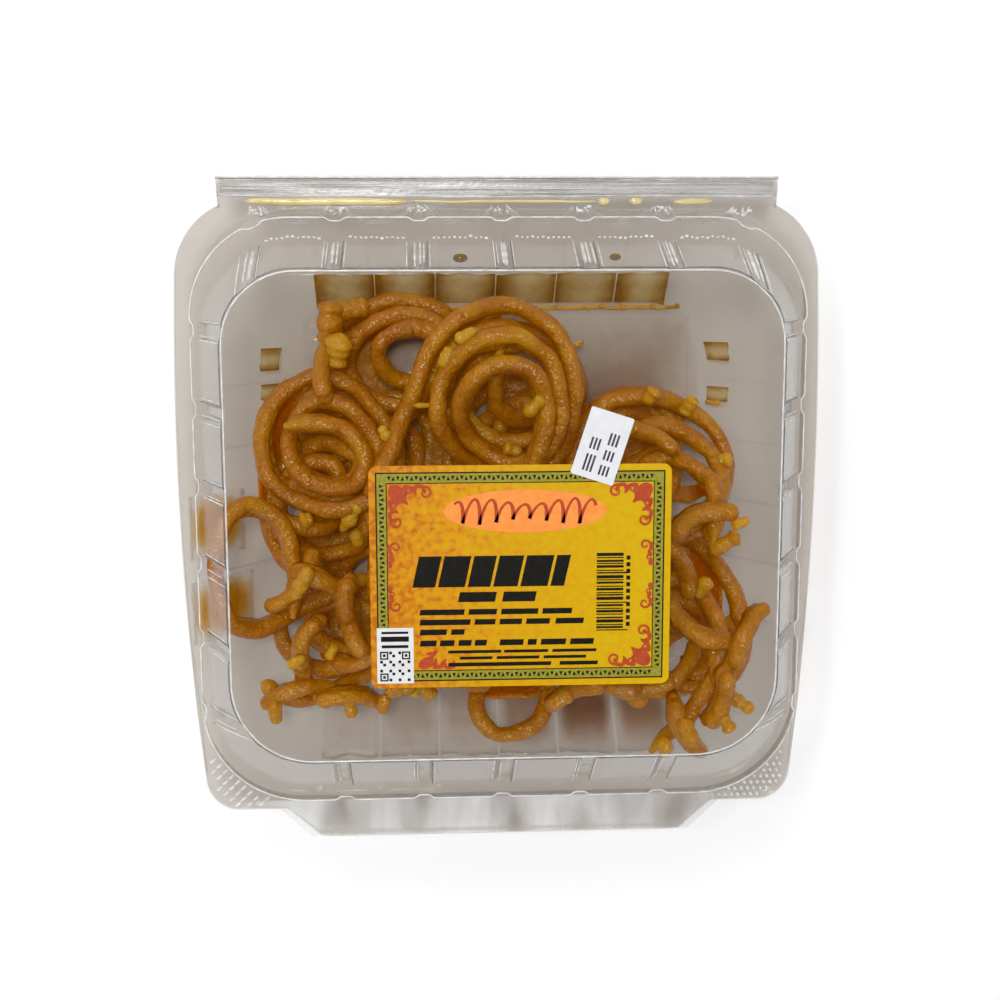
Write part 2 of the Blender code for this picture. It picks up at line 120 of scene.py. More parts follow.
# ---------------------------------------------------------------- nodes
class Nodes:
    """The nodes of one material or world, under short names."""

    def __init__(self, tree):
        self.tree = tree

    def add(self, kind, inputs=None, **settings):
        """A new node with values or links at its inputs; a colour may be given as three values."""
        made = self.tree.nodes.new("ShaderNode" + kind)
        for key, value in settings.items():
            setattr(made, key, value)
        for key, value in (inputs or {}).items():
            socket = made.inputs[key]
            if isinstance(value, bpy.types.NodeSocket):
                self.tree.links.new(value, socket)
            elif socket.type == "RGBA":
                socket.default_value = (*value, 1.0)
            else:
                socket.default_value = value
        return made

    def place(self):
        return self.add("TexCoord").outputs["Object"]

    def noise(self, scale, detail=3.0, place=None):
        place = self.place() if place is None else place
        return self.add("TexNoise", {"Vector": place, "Scale": scale, "Detail": detail}).outputs["Fac"]

    def part(self, vector, axis):
        return self.add("SeparateXYZ", {0: vector}).outputs[axis]

    def maths(self, operation, *values):
        return self.add("Math", dict(enumerate(values)), operation=operation).outputs[0]

    def spread(self, value, low, high, start=0.0, end=1.0):
        """The value's range from start to end, moved to the range from low to high."""
        ends = {"From Min": start, "From Max": end, "To Min": low, "To Max": high}
        return self.add("MapRange", {"Value": value, **ends}).outputs["Result"]

    def attribute(self, name):
        return self.add("Attribute", attribute_name=name).outputs["Fac"]

    def facing(self, normal=None):
        """How far a face turns away from the camera."""
        inputs = {"Blend": 0.5} if normal is None else {"Blend": 0.5, "Normal": normal}
        return self.add("LayerWeight", inputs).outputs["Facing"]

    def ramp(self, factor, stops):
        made = self.add("ValToRGB", {"Fac": factor})
        elements = made.color_ramp.elements
        while len(elements) < len(stops):
            elements.new(0.5)
        for element, (place, colour) in zip(elements, stops):
            element.position = place
            element.color = (*colour, 1.0)
        return made.outputs["Color"]

    def blend(self, factor, a, b, way="MIX"):
        """Colour a with the factor's share of colour b over it."""
        made = self.add("Mix", {0: factor, 6: a, 7: b}, data_type="RGBA", blend_type=way)
        return made.outputs[2]

    def bump(self, *layers):
        """The normal under a chain of bumps: (texture, scale, distance, strength)."""
        inputs = {}
        for texture, scale, distance, strength in layers:
            if texture == "noise":
                height = self.noise(scale)
            else:
                made = self.add("TexVoronoi", {"Vector": self.place(), "Scale": scale})
                height = made.outputs["Distance"]
            inputs.update({"Height": height, "Distance": distance, "Strength": strength})
            inputs["Normal"] = self.add("Bump", inputs).outputs["Normal"]
        return inputs["Normal"]

    def mixed(self, share, a, b):
        """Shader a with the given share of shader b."""
        return self.add("MixShader", {0: share, 1: a.outputs[0], 2: b.outputs[0]})

    def glazed(self, under, colour, roughness, normal, low, high):
        """A shader under a shine, which grows from low to high as the face turns away."""
        shine = self.add("BsdfGlossy", {"Color": colour, "Roughness": roughness, "Normal": normal})
        steep = self.maths("POWER", self.facing(normal), 4.0)
        return self.mixed(self.spread(steep, low, high), under, shine)


class Paint(Nodes):
    """The nodes of a new material."""

    def __init__(self, name):
        self.material = bpy.data.materials.new(name)
        self.material.use_nodes = True
        super().__init__(self.material.node_tree)
        self.tree.nodes.clear()

    def finished(self, shader):
        self.add("OutputMaterial", {"Surface": shader.outputs[0]})
        return self.material


# ---------------------------------------------------------------- materials
def clear_plastic(name, tint, edge, roughness):
    """Thin clear sheet: lets light through with a slight grey, and shines more at a low angle."""
    paint = Paint(name)
    normal = paint.bump(("noise", 60.0, 0.0012, 0.35), ("noise", 900.0, 0.00005, 0.5))
    colour = paint.ramp(paint.facing(normal), ((0.0, tint), (0.55, tint), (1.0, edge)))
    clear = paint.add("BsdfTransparent", {"Color": colour})
    return paint.finished(paint.glazed(clear, (0.97, 0.98, 1.0), roughness, normal, 0.002, 0.54))


def fold_material(name, clear_share, whiteness, stretch=(240.0,) * 3, contrast=0.18, tint=0.93):
    """Clear plastic mixed in streaks with a flat colour, rougher than the sheet round it: white for
    painted highlights along creases and for the frosted grip marks, dark for painted shade.
    """
    paint = Paint(name)
    stretched = paint.add("VectorMath", {0: paint.place(), 1: stretch}, operation="MULTIPLY")
    uneven = paint.noise(1.0, place=stretched.outputs[0])
    share = paint.spread(uneven, clear_share - contrast, clear_share + contrast, 0.35, 0.65)
    white = paint.add(
        "BsdfPrincipled",
        {
            "Base Color": (whiteness,) * 3,
            "Roughness": 0.22,
            "Specular IOR Level": 0.8,
            "Normal": paint.bump(("noise", 700.0, 0.0003, 0.5)),
        },
    )
    clear = paint.add("BsdfTransparent", {"Color": (tint,) * 3})
    return paint.finished(paint.mixed(share, white, clear))


def jalebi_material(name, shade, glint_share):
    """Fried batter soaked in syrup: amber, redder where seen through more of it, pale at tips; with
    painted glints on its upward faces, a faint painted glow, and painted shade by the shade factor.
    """
    paint = Paint(name)
    thin = (
        (0.25, (0.45, 0.148, 0.0001)), (0.48, (0.53, 0.218, 0.0001)),
        (0.62, (0.58, 0.272, 0.0002)), (0.80, (0.67, 0.365, 0.0008)),
    )
    deep = paint.spread(paint.facing(), 0.0, 0.85, 0.10, 0.95)
    colour = paint.blend(deep, paint.ramp(paint.noise(55.0), thin), (0.45, 0.138, 0.0001))
    grain = paint.ramp(
        paint.noise(420.0, 4.0), ((0.30, (0.80, 0.74, 0.60)), (0.62, (1.0, 1.0, 1.0)))
    )
    colour = paint.blend(1.0, colour, grain, "MULTIPLY")
    colour = paint.blend(paint.attribute("pale"), colour, (0.68, 0.40, 0.010))
    # painted glints: pale golden specks mixed into the colour on upward-facing faces, standing for the wet
    # highlights along the strand tops
    painted_glints = paint.spread(paint.noise(1250.0, 1.5), 0.0, glint_share, 0.575, 0.65)
    upward = paint.part(paint.add("NewGeometry").outputs["Normal"], "Z")
    painted_glints = paint.maths("MULTIPLY", painted_glints, paint.spread(upward, 0.0, 1.0, 0.86, 0.99))
    colour = paint.blend(painted_glints, colour, (0.88, 0.66, 0.30))
    # painted shade: the colour darkened by the shade factor, more in green and blue, so it also turns
    # redder
    colour = paint.blend(1.0, colour, (shade, shade * shade, shade * shade), "MULTIPLY")
    normal = paint.bump(
        ("noise", 240.0, 0.0016, 0.5), ("noise", 800.0, 0.0009, 0.7), ("voronoi", 620.0, 0.0007, 0.55)
    )
    shader = paint.add(
        "BsdfPrincipled",
        {
            "Base Color": colour,
            "Roughness": paint.spread(paint.noise(130.0, 2.0), 0.10, 0.24, 0.35, 0.65),
            "Normal": normal,
            "Subsurface Weight": 0.85,
            "Subsurface Radius": (1.0, 0.42, 0.01),
            "Subsurface Scale": 0.0060,
            "Specular IOR Level": 0.60,
            "Specular Tint": (1.0, 0.84, 0.52),
            "Coat Weight": 0.26,
            "Coat Roughness": 0.06,
            # painted light: a faint amber glow that lifts the batter's shaded parts, standing for light
            # passing through it
            "Emission Color": (0.34, 0.110, 0.0003),
            "Emission Strength": 0.10,
            "Coat Normal": normal,
        },
    )
    return paint.finished(shader)


def syrup_material(name, dark, light, milk=0.0, gain=0.65, streaky=1.0, stops=(0.42, 0.95)):
    """Amber syrup in a film or a drop, and films of painted shade; milk is how much of it scatters light.
    """
    paint = Paint(name)
    streaks = paint.maths("MULTIPLY", paint.noise(160.0), streaky)
    thick = paint.maths("MULTIPLY_ADD", paint.attribute("pale"), gain, streaks)
    tint = paint.ramp(thick, ((stops[0], light), (stops[1], dark)))
    clear = paint.add("BsdfTransparent", {"Color": tint})
    cloudy = paint.mixed(milk, clear, paint.add("BsdfDiffuse", {"Color": tint}))
    normal = paint.bump(("noise", 300.0, 0.0006, 0.6))
    return paint.finished(paint.glazed(cloudy, (1.0, 0.9, 0.7), 0.12, normal, 0.03, 0.40))


def print_material(name, stops, scale, roughness=0.35, across=None):
    """Printed ink: a mottled blend of colours, which shifts between two places in x if given."""
    paint = Paint(name)
    factor = paint.noise(scale, 5.0)
    if across is not None:
        slope = paint.spread(paint.part(paint.place(), "X"), -0.28, 0.28, *across)
        factor = paint.maths("ADD", factor, slope)
    shader = paint.add(
        "BsdfPrincipled",
        {
            "Base Color": paint.ramp(factor, stops),
            "Roughness": roughness,
            "Specular IOR Level": 0.15,
            "Normal": paint.bump(("noise", 3000.0, 0.00002, 0.4)),
        },
    )
    return paint.finished(shader)


def ink(name, dark, light, scale, roughness=0.35):
    return print_material(name, ((0.3, dark), (0.7, light)), scale, roughness)


# ---------------------------------------------------------------- pieces
def placed(name, data, paint):
    """A new object in the scene that shows a mesh in one material."""
    data.materials.append(paint)
    obj = bpy.data.objects.new(name, data)
    bpy.context.scene.collection.objects.link(obj)
    return obj


def piece(name, mesh, paint, body, smooth=True, replaced=()):
    """A piece of the looks, from its mesh (points, faces)."""
    data = bpy.data.meshes.new(name)
    data.from_pydata([tuple(p) for p in mesh[0]], [], [tuple(f) for f in mesh[1]])
    data.update()
    for polygon in data.polygons:
        polygon.use_smooth = smooth
    obj = placed(name, data, paint)
    if body:
        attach(obj, body)
    if replaced:
        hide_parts(*replaced)
    return obj


def joined(parts):
    """One mesh of several (points, faces, ...)."""
    points, faces = [], []
    for some_points, some_faces, *_ in parts:
        start = len(points)
        points += list(some_points)
        faces += [tuple(start + i for i in face) for face in some_faces]
    return points, faces


def food_piece(name, parts, paint, replaced=()):
    """Batter, syrup and films of painted shade in the box, from (points, faces, how pale or thick it is at
    each point).
    """
    made = piece(name, joined(parts), paint, "base", True, replaced)
    layer = made.data.attributes.new("pale", "FLOAT", "POINT")
    layer.data.foreach_set("value", np.array([v for part in parts for v in part[2]], np.float32))


# ---------------------------------------------------------------- outlines, as in the CAD source
class Outline:
    """A rectangle with round corners, seen from above."""

    def __init__(self, half_x, front_y, hinge_y, front_radius, hinge_radius):
        self.half_x = half_x
        self.front_y = front_y
        self.hinge_y = hinge_y
        self.front_radius = front_radius
        self.hinge_radius = hinge_radius

    def corner(self, quarter):
        sign_x = 1 if quarter in (0, 3) else -1
        hinge_side = quarter < 2
        radius = self.hinge_radius if hinge_side else self.front_radius
        middle_y = self.hinge_y - radius if hinge_side else self.front_y + radius
        return sign_x * (self.half_x - radius), middle_y, radius

    def at(self, side, place):
        quarters = {"hinge": (0, 1), "left": (2, 1), "front": (3, 2), "right": (3, 0)}[side]
        middles = [self.corner(q) for q in quarters]
        along = [m[0] if side in ("hinge", "front") else m[1] for m in middles]
        outward = {"right": 0.0, "hinge": 90.0, "left": 180.0, "front": 270.0}[side]
        if min(along) <= place <= max(along):
            flat = {
                "hinge": (place, self.hinge_y),
                "front": (place, self.front_y),
                "left": (-self.half_x, place),
                "right": (self.half_x, place),
            }[side]
            return (*flat, math.radians(outward))
        which = int(np.argmin([abs(a - place) for a in along]))
        x, y, radius = middles[which]
        lean = math.asin(max(-1.0, min(1.0, (place - along[which]) / radius)))
        if side in ("hinge", "left"):
            lean = -lean
        angle = math.radians(outward) + lean
        return x + radius * math.cos(angle), y + radius * math.sin(angle), angle


def rim(outline, points):
    """Points with the rim's bowed sides, its front lip and its hinge bar added."""
    shaped = []
    for x, y in points:
        if y < outline.front_y + 0.001:
            y -= LIP_DEPTH * min(1.0, max(0.0, (LIP_HALF_X - abs(x)) / LIP_RAMP))
        if y > outline.hinge_y - 0.004 and abs(x) < BAR_HALF_X:
            y = BAR_Y
        else:
            x *= 1 - FLANGE_TAPER * (y - FLANGE_WIDEST_Y) ** 2 / outline.half_x
        shaped.append((x, y))
    return shaped


SIDES = ("right", "hinge", "left", "front")
CORNER_STEPS = 12


def side_stations(side, grooves, beyond, width, slope, plain_step):
    """(place, share of the groove's depth, share beyond), with the grooves' sides rounded."""
    places = []
    low, high = min(grooves) - width / 2, max(grooves) + width / 2
    for middle in grooves:
        for edge in (-width / 2, width / 2 - slope):
            places += [middle + edge + slope * k / 5 for k in range(6)]
        places += [middle - width / 6, middle + width / 6]
    for a, b in zip(sorted(grooves), sorted(grooves)[1:]):
        count = max(2, math.ceil((b - a - width) / plain_step))
        places += [a + width / 2 + (b - a - width) * k / count for k in range(1, count)]
    stations = []
    for place in sorted(set(round(p, 7) for p in places)):
        away = min(abs(place - m) for m in grooves)
        share = min(1.0, max(0.0, (width / 2 - away) / slope))
        stations.append((min(max(place, low), high), share * share * (3 - 2 * share), 0.0))
    for share in beyond:
        stations += [(low - share * 1e-6, 0.0, share), (high + share * 1e-6, 0.0, share)]
    return sorted(stations, reverse=side in ("hinge", "left"))


def ring(outline, z, depth, stations, shaped=None):
    """The points of an outline at one height, with its grooves cut in by the depth."""
    placed = []
    for side in SIDES:
        on_side = []
        for place, share, beyond in stations[side]:
            place += math.copysign(beyond * (outline.half_x - abs(place)), place)
            on_side.append((*outline.at(side, place), share))
        placed.append(on_side)
    points = []
    for i, on_side in enumerate(placed):
        for x, y, angle, share in on_side:
            cut = depth * share
            points.append((x - cut * math.cos(angle), y - cut * math.sin(angle)))
        start = on_side[-1][2]
        end = placed[(i + 1) % 4][0][2]
        end += math.tau * math.ceil((start - end) / math.tau)
        x, y, radius = outline.corner(i)
        for step in range(CORNER_STEPS):
            angle = start + (end - start) * (step + 0.5) / CORNER_STEPS
            points.append((x + radius * math.cos(angle), y + radius * math.sin(angle)))
    if shaped is not None:
        points = shaped(outline, points)
    return [(x, y, z) for x, y in points]


def rounded_profile(keys, steps=5):
    """Keys are (sizes, z, depth, radius). Returns rows with each inner key rounded off."""
    vectors = [np.array([*sizes, z, depth]) for sizes, z, depth, _ in keys]
    rows = [vectors[0]]
    for i in range(1, len(keys) - 1):
        here, before, after = vectors[i], vectors[i - 1], vectors[i + 1]
        radius = keys[i][3]
        if radius <= 0:
            rows.append(here)
            continue
        legs = []
        for other in (before, after):
            gap = math.hypot(other[0] - here[0], other[5] - here[5])
            legs.append(here + (other - here) * min(0.48, radius / max(gap, 1e-6)))
        for k in range(steps):
            t = k / (steps - 1)
            rows.append((1 - t) ** 2 * legs[0] + 2 * t * (1 - t) * here + t * t * legs[1])
    rows.append(vectors[-1])
    return rows


def shell_mesh(rings, inwards):
    """Points and faces of a closed thin sheet through the rings, capped at the last one."""
    mesh = bmesh.new()
    loops = [[mesh.verts.new(p) for p in points] for points in rings]
    for outer, inner in zip(loops, loops[1:]):
        for i in range(len(outer)):
            j = (i + 1) % len(outer)
            mesh.faces.new((outer[i], outer[j], inner[j], inner[i]))
    centre = Vector((0, 0, 0))
    for vert in loops[-1]:
        centre += vert.co / len(loops[-1])
    hub = mesh.verts.new(centre)
    for i in range(len(loops[-1])):
        j = (i + 1) % len(loops[-1])
        mesh.faces.new((loops[-1][i], loops[-1][j], hub))
    bmesh.ops.recalc_face_normals(mesh, faces=mesh.faces)
    hub.normal_update()
    if (hub.normal.z > 0) != inwards:
        bmesh.ops.reverse_faces(mesh, faces=mesh.faces)
    return mesh


def shell(name, rings, up, paint, body, replaced):
    """A sheet of even thickness through the rings, with sharp edges where it bends hard."""
    mesh = shell_mesh(rings, up)
    data = bpy.data.meshes.new(name)
    mesh.to_mesh(data)
    mesh.free()
    obj = placed(name, data, paint)
    thickness = obj.modifiers.new("Sheet", "SOLIDIFY")
    thickness.thickness = SHEET
    thickness.offset = -1
    thickness.use_even_offset = False
    graph = bpy.context.evaluated_depsgraph_get()
    solid = bpy.data.meshes.new_from_object(obj.evaluated_get(graph))
    obj.modifiers.clear()
    obj.data = solid
    for polygon in solid.polygons:
        polygon.use_smooth = True
    solid.set_sharp_from_angle(angle=math.radians(50))
    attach(obj, body)
    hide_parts(replaced)


def mixed_rings(outer, inner, shares, lifts):
    """Rings between two rings with the same number of points."""
    made = []
    for share, lift in zip(shares, lifts):
        made.append(
            [
                tuple(a[k] * (1 - share) + b[k] * share + (lift if k == 2 else 0.0) for k in range(3))
                for a, b in zip(outer, inner)
            ]
        )
    return made


FLANGE = Outline(FLANGE_HALF_X, TAB_Y, FLANGE_HINGE_Y, 0.011, 0.026)
SKIRT_SHARES = (0.0, 0.05, 0.10, 0.16, 0.22, 0.30, 0.45, 0.70, 0.92)
SKIRT_LIFTS = (0.0, 0.0003, 0.0007, 0.0007, 0.0003, 0.0, 0.0, 0.0, 0.0)


# Sizes of outlines at the ends of the grooved walls, and the walls between them.
LID_LEDGE = (0.1040, -0.0960, 0.0975, 0.034, 0.032)
LID_SHOULDER = (0.0940, -0.0795, 0.0882, 0.028, 0.025)
BASE_FOOT = (0.0815, -0.0690, 0.0750, 0.027, 0.025)
BASE_SHOULDER = (0.1035, -0.0960, 0.1020, 0.035, 0.033)
LID_WALL = (LID_LEDGE, LID_SHOULDER, LEDGE_Z, LID_TOP - 0.0012)
BASE_WALL = (BASE_FOOT, BASE_SHOULDER, FLUTE_FOOT, RIM_Z - SHEET - 0.006)


def stations_of(grooves, beyond, *sizes):
    """The stations of all four sides; sizes are a groove's width and slope, and a plain step."""
    return {
        side: side_stations(side, places, beyond.get(side, ()), *sizes)
        for side, places in grooves.items()
    }


ALONG_LID = [LID_SIDE_GROOVE_START + LID_SIDE_GROOVE_PITCH * k for k in range(-2, 4)]
LID_GROOVES = {
    "hinge": [LID_GROOVE_PITCH * k for k in range(-3, 4)],
    "front": [LID_GROOVE_PITCH * k for k in range(-2, 3)],
    "left": ALONG_LID,
    "right": ALONG_LID,
}
LID_BEYOND = {"hinge": (0.16, 0.32, 0.36, 0.41), "front": (0.11, 0.22, 0.33, 0.44)}
LID_STATIONS = stations_of(LID_GROOVES, LID_BEYOND, LID_GROOVE_WIDTH, 0.0022, 0.004)
ACROSS_BASE = [BASE_GROOVE_PITCH * k for k in range(-3, 4)]
ALONG_BASE = [BASE_GROOVE_PITCH * k + 0.003 for k in range(-2, 3)]
BASE_GROOVES = {"hinge": ACROSS_BASE, "front": ACROSS_BASE, "left": ALONG_BASE, "right": ALONG_BASE}
BASE_BEYOND = {"hinge": (0.20, 0.40, 0.55, 0.60, 0.66), "front": (0.06, 0.15, 0.24, 0.32)}
BASE_STATIONS = stations_of(BASE_GROOVES, BASE_BEYOND, BASE_GROOVE_WIDTH, 0.0018, 0.0045)


def half_rings(keys, stations, way, centre, shares, lifts):
    """All rings of one half of the box, from its rim over its wall to its middle."""
    loops = [ring(Outline(*row[:5]), row[5], row[6], stations) for row in rounded_profile(keys)]
    flange = ring(FLANGE, keys[0][1], 0.0, stations, rim)
    skirt = mixed_rings(flange, loops[0], SKIRT_SHARES, [way * lift for lift in SKIRT_LIFTS])
    return skirt + loops + mixed_rings(loops[-1], [centre] * len(loops[-1]), shares, lifts)


def build_lid(paint):
    keys = (
        ((0.1085, -0.1045, 0.1085, 0.037, 0.035), LID_BOTTOM + SHEET, 0.0, 0.0),
        ((0.1065, -0.1015, 0.1050, 0.036, 0.034), LEDGE_Z - 0.001, 0.0012, 0.0012),
        (LID_LEDGE, LEDGE_Z, GROOVE_DEPTH, 0.0012),
        (LID_SHOULDER, LID_WALL[3], GROOVE_DEPTH / 2, 0.0014),
        ((0.0926, -0.0783, 0.0868, 0.027, 0.024), LID_TOP, 0.0, 0.0012),
        ((0.0918, -0.0775, 0.0860, 0.0262, 0.0232), LID_TOP, 0.0, 0.0),
    )
    rings = half_rings(keys, LID_STATIONS, 1, (0.0, 0.004, LID_TOP), (0.03, 0.30), (0.0, 0.0))
    shell("lid_shell", rings, True, paint, "lid", "lid")


def build_base(paint):
    keys = (
        ((0.1070, -0.1030, 0.1075, 0.036, 0.034), RIM_Z - SHEET, 0.0, 0.0),
        (BASE_SHOULDER, BASE_WALL[3], GROOVE_DEPTH, 0.0020),
        (BASE_FOOT, FLUTE_FOOT, GROOVE_DEPTH, 0.0020),
        ((0.0790, -0.0665, 0.0725, 0.025, 0.023), 0.0, 0.0, 0.0020),
        ((0.0775, -0.0650, 0.0710, 0.025, 0.023), 0.0, 0.0, 0.0),
    )
    shares, lifts = (0.05, 0.07, 0.085, 0.10, 0.12), (0.0, 0.0001, 0.0004, 0.0007, 0.0008)
    rings = half_rings(keys, BASE_STATIONS, -1, (0.0, 0.003, 0.0), shares, lifts)
    shell("base_shell", rings, False, paint, "base", "base")


# ---------------------------------------------------------------- jalebi routes, as in the CAD source
def piped_route(centre, radius, gap, turns, start, way, drift, stretch, lead, tail, bend):
    route = []
    turned = 0.0
    while len(route) == 0 or turned < turns:
        if route:
            step = min(SHARPEST_STEP, math.sqrt(8 * SAG / (radius - gap * turned)))
            turned = min(turns, turned + step / math.tau)
        angle = math.radians(start) + way * math.tau * turned
        wobble = 1 + 0.07 * math.sin(2 * angle + start) + 0.04 * math.sin(3 * angle + start)
        reach = (radius - gap * turned) * wobble
        x = centre[0] + drift[0] * turned + reach * math.cos(angle)
        y = centre[1] + drift[1] * turned + reach * math.sin(angle) * stretch
        route.append((x, y))
    (ax, ay), (bx, by) = route[:2]
    heading = math.atan2(ay - by, ax - bx)
    for _ in range(round(lead / TAIL_STEP)):
        x, y = route[0]
        route.insert(0, (x + TAIL_STEP * math.cos(heading), y + TAIL_STEP * math.sin(heading)))
    (ax, ay), (bx, by) = route[-2:]
    heading = math.atan2(by - ay, bx - ax)
    for _ in range(round(tail / TAIL_STEP)):
        heading += way * math.radians(bend)
        x, y = route[-1]
        route.append((x + TAIL_STEP * math.cos(heading), y + TAIL_STEP * math.sin(heading)))
    return np.array(route)


def beyond_floor(points):
    radius = 0.022
    middle = np.array([0.0, 0.0030])
    half = np.array([0.0790, 0.0695]) - radius
    past = np.abs(points - middle) - half
    outside = np.linalg.norm(np.maximum(past, 0.0), axis=1)
    return outside + np.minimum(past.max(axis=1), 0.0) - radius


def tub_height(points):
    rise, run = 0.0385, 0.0270
    steep = math.hypot(rise, run) / run
    past = beyond_floor(points)
    over_floor = SHEET + STRAND / 2 + 0.0003
    return np.maximum(over_floor, past * rise / run + (STRAND / 2 + 0.0015) * steep)


def sampled(route, heights):
    plan, z, section = [], [], []
    for k in range(len(route) - 1):
        count = max(2, math.ceil(np.linalg.norm(route[k + 1] - route[k]) / SAMPLE))
        share = np.linspace(0, 1, count, endpoint=False)[:, None]
        plan.append(route[k] * (1 - share) + route[k + 1] * share)
        z.append(heights[k] * (1 - share[:, 0]) + heights[k + 1] * share[:, 0])
        section.append(np.full(count, k))
    return np.concatenate(plan), np.concatenate(z), np.concatenate(section)


def height_over(plan, below_plan, below_z):
    if not len(below_plan):
        return np.full(len(plan), -1.0)
    apart = ((plan[:, None, :] - below_plan[None, :, :]) ** 2).sum(axis=2)
    over = STRAND_SPACING**2 - apart
    lifted = np.where(over > 0, below_z[None, :] + np.sqrt(np.maximum(over, 0)), -1.0)
    return lifted.max(axis=1)


def laid_down(route, below_plan, below_z):
    steps = np.linalg.norm(np.diff(route, axis=0), axis=1)
    along = np.concatenate([[0.0], np.cumsum(steps)])
    slack = CLIMB * np.abs(along[:, None] - along[None, :])
    heights = tub_height(route)
    plan, _, section = sampled(route, heights)
    fixed = np.maximum(tub_height(plan), height_over(plan, below_plan, below_z))
    for _ in range(10):
        _, z, _ = sampled(route, heights)
        needed = fixed.copy()
        for k in range(len(route) - 1):
            own = along[section + 1] < along[k] - 1.5 * STRAND_SPACING
            here = section == k
            needed[here] = np.maximum(needed[here], height_over(plan[here], plan[own], z[own]))
        for k in range(len(route) - 1):
            most = needed[section == k].max()
            heights[k] = max(heights[k], most)
            heights[k + 1] = max(heights[k + 1], most)
        heights = (heights[None, :] - slack).max(axis=1)
    return heights


# ---------------------------------------------------------------- jalebi strands
FINE_STEP = 0.0012
AROUND = 14


def smooth_line(points, step):
    """A curve through the points, at even steps."""
    points = np.asarray(points)
    padded = np.vstack([2 * points[0] - points[1], points, 2 * points[-1] - points[-2]])
    line = []
    for i in range(1, len(padded) - 2):
        p0, p1, p2, p3 = padded[i - 1 : i + 3]
        count = max(2, math.ceil(np.linalg.norm(p2 - p1) / step))
        for k in range(count):
            t = k / count
            square = (2 * p0 - 5 * p1 + 4 * p2 - p3) * t * t
            cube = (3 * p1 - p0 - 3 * p2 + p3) * t**3
            line.append(0.5 * (2 * p1 + (p2 - p0) * t + square + cube))
    line.append(points[-1])
    return np.array(line)


def turned_frames(line):
    """Two directions across the line at each point, which don't twist."""
    tangents = np.gradient(line, axis=0)
    tangents /= np.linalg.norm(tangents, axis=1)[:, None]
    side = np.cross(tangents[0], (0, 0, 1))
    side /= np.linalg.norm(side)
    sides, ups = [], []
    for tangent in tangents:
        side = side - tangent * np.dot(side, tangent)
        side /= np.linalg.norm(side)
        sides.append(side)
        ups.append(np.cross(side, tangent))
    return tangents, np.array(sides), np.array(ups)


def tube_faces(count, around):
    """The faces between a tube's rings."""
    faces = []
    for a in range(0, (count - 1) * around, around):
        for k in range(around):
            j = (k + 1) % around
            faces.append((a + k, a + j, a + around + j, a + around + k))
    return faces


def strand_mesh(line, radius_at, seed, pale_at, end_pale=None):
    """Points, faces and paleness of an uneven tube with round ends along a line."""
    tangents, sides, ups = turned_frames(line)
    steps = np.linalg.norm(np.diff(line, axis=0), axis=1)
    along = np.concatenate([[0.0], np.cumsum(steps)])
    points, pale = [], []
    for i, centre in enumerate(line):
        radius = radius_at(along[i], along[-1])
        for k in range(AROUND):
            angle = math.tau * k / AROUND
            out = sides[i] * math.cos(angle) + ups[i] * math.sin(angle)
            at = Vector(centre + out * radius)
            rough = 0.00030 * noise.noise(at * 170 + Vector((seed, 0, 0)))
            rough += 0.00022 * noise.noise(at * 420 + Vector((0, seed, 0)))
            grow = radius + rough * min(1.0, radius / 0.003)
            flatter = 0.95 if abs(math.sin(angle)) > 0.7 else 1.0
            points.append(centre + out * grow * flatter)
            pale.append(pale_at(along[i], along[-1], at))
    faces = tube_faces(len(line), AROUND)
    for end, first, turned in (
        (line[0] - tangents[0] * 0.0004, 0, True),
        (line[-1] + tangents[-1] * 0.0004, (len(line) - 1) * AROUND, False),
    ):
        hub = len(points)
        points.append(end)
        pale.append(pale[first] if end_pale is None else end_pale)
        for k in range(AROUND):
            edge = (first + k, first + (k + 1) % AROUND)
            faces.append((*(edge[::-1] if turned else edge), hub))
    return points, faces, pale


def wander(point, seed):
    """How far an uneven strand strays from its even path."""
    at = Vector(point) * 70 + Vector((seed, 0, 0))
    far = Vector(point) * 160 + Vector((0, seed, 0))
    return 0.00075 * np.array(noise.noise_vector(at)) + 0.0003 * np.array(noise.noise_vector(far))


class Heap:
    """The strands that lie in the box so far, as points in plan and their heights."""

    def __init__(self):
        self.plan, self.z = np.empty((0, 2)), np.empty(0)

    def laid(self, route, seed):
        """Lays a strand along the route on the heap, and gives its uneven line."""
        heights = laid_down(route, self.plan, self.z)
        plan, z, _ = sampled(route, heights)
        self.plan = np.concatenate([self.plan, plan])
        self.z = np.concatenate([self.z, z])
        line = smooth_line(np.column_stack([route, heights]), FINE_STEP)
        return np.array([p + wander(p, seed) for p in line])


def build_jalebis(paint, heap):
    for index, (name, *shape) in enumerate(JALEBIS):
        seed = 7.3 * (index + 1)
        line = heap.laid(piped_route(*shape), seed)

        def radius_at(s, total, seed=seed):
            base = STRAND / 2 * 1.03
            base *= 1 + 0.18 * noise.noise(Vector((s * 55, seed, 0)))
            base *= 1 + 0.10 * noise.noise(Vector((s * 170, 0, seed)))
            first, last = s / 0.0040, (total - s) / 0.0080
            base *= math.sqrt(max(0.02, 1 - max(0.0, 1 - first) ** 2))
            base *= max(0.16, min(1.0, last)) ** 0.55
            return base

        def pale_at(s, total, at, seed=seed):
            tip = max(0.0, 1 - s / 0.008, 1 - (total - s) / 0.012)
            spots = noise.noise(at * 60 + Vector((seed, seed, 0)))
            return min(1.0, 0.6 * tip + max(0.0, spots - 0.33) * 1.6)

        made = strand_mesh(line, radius_at, seed, pale_at, 1.0)
        food_piece(name + "_coil", [made], paint, (name,))


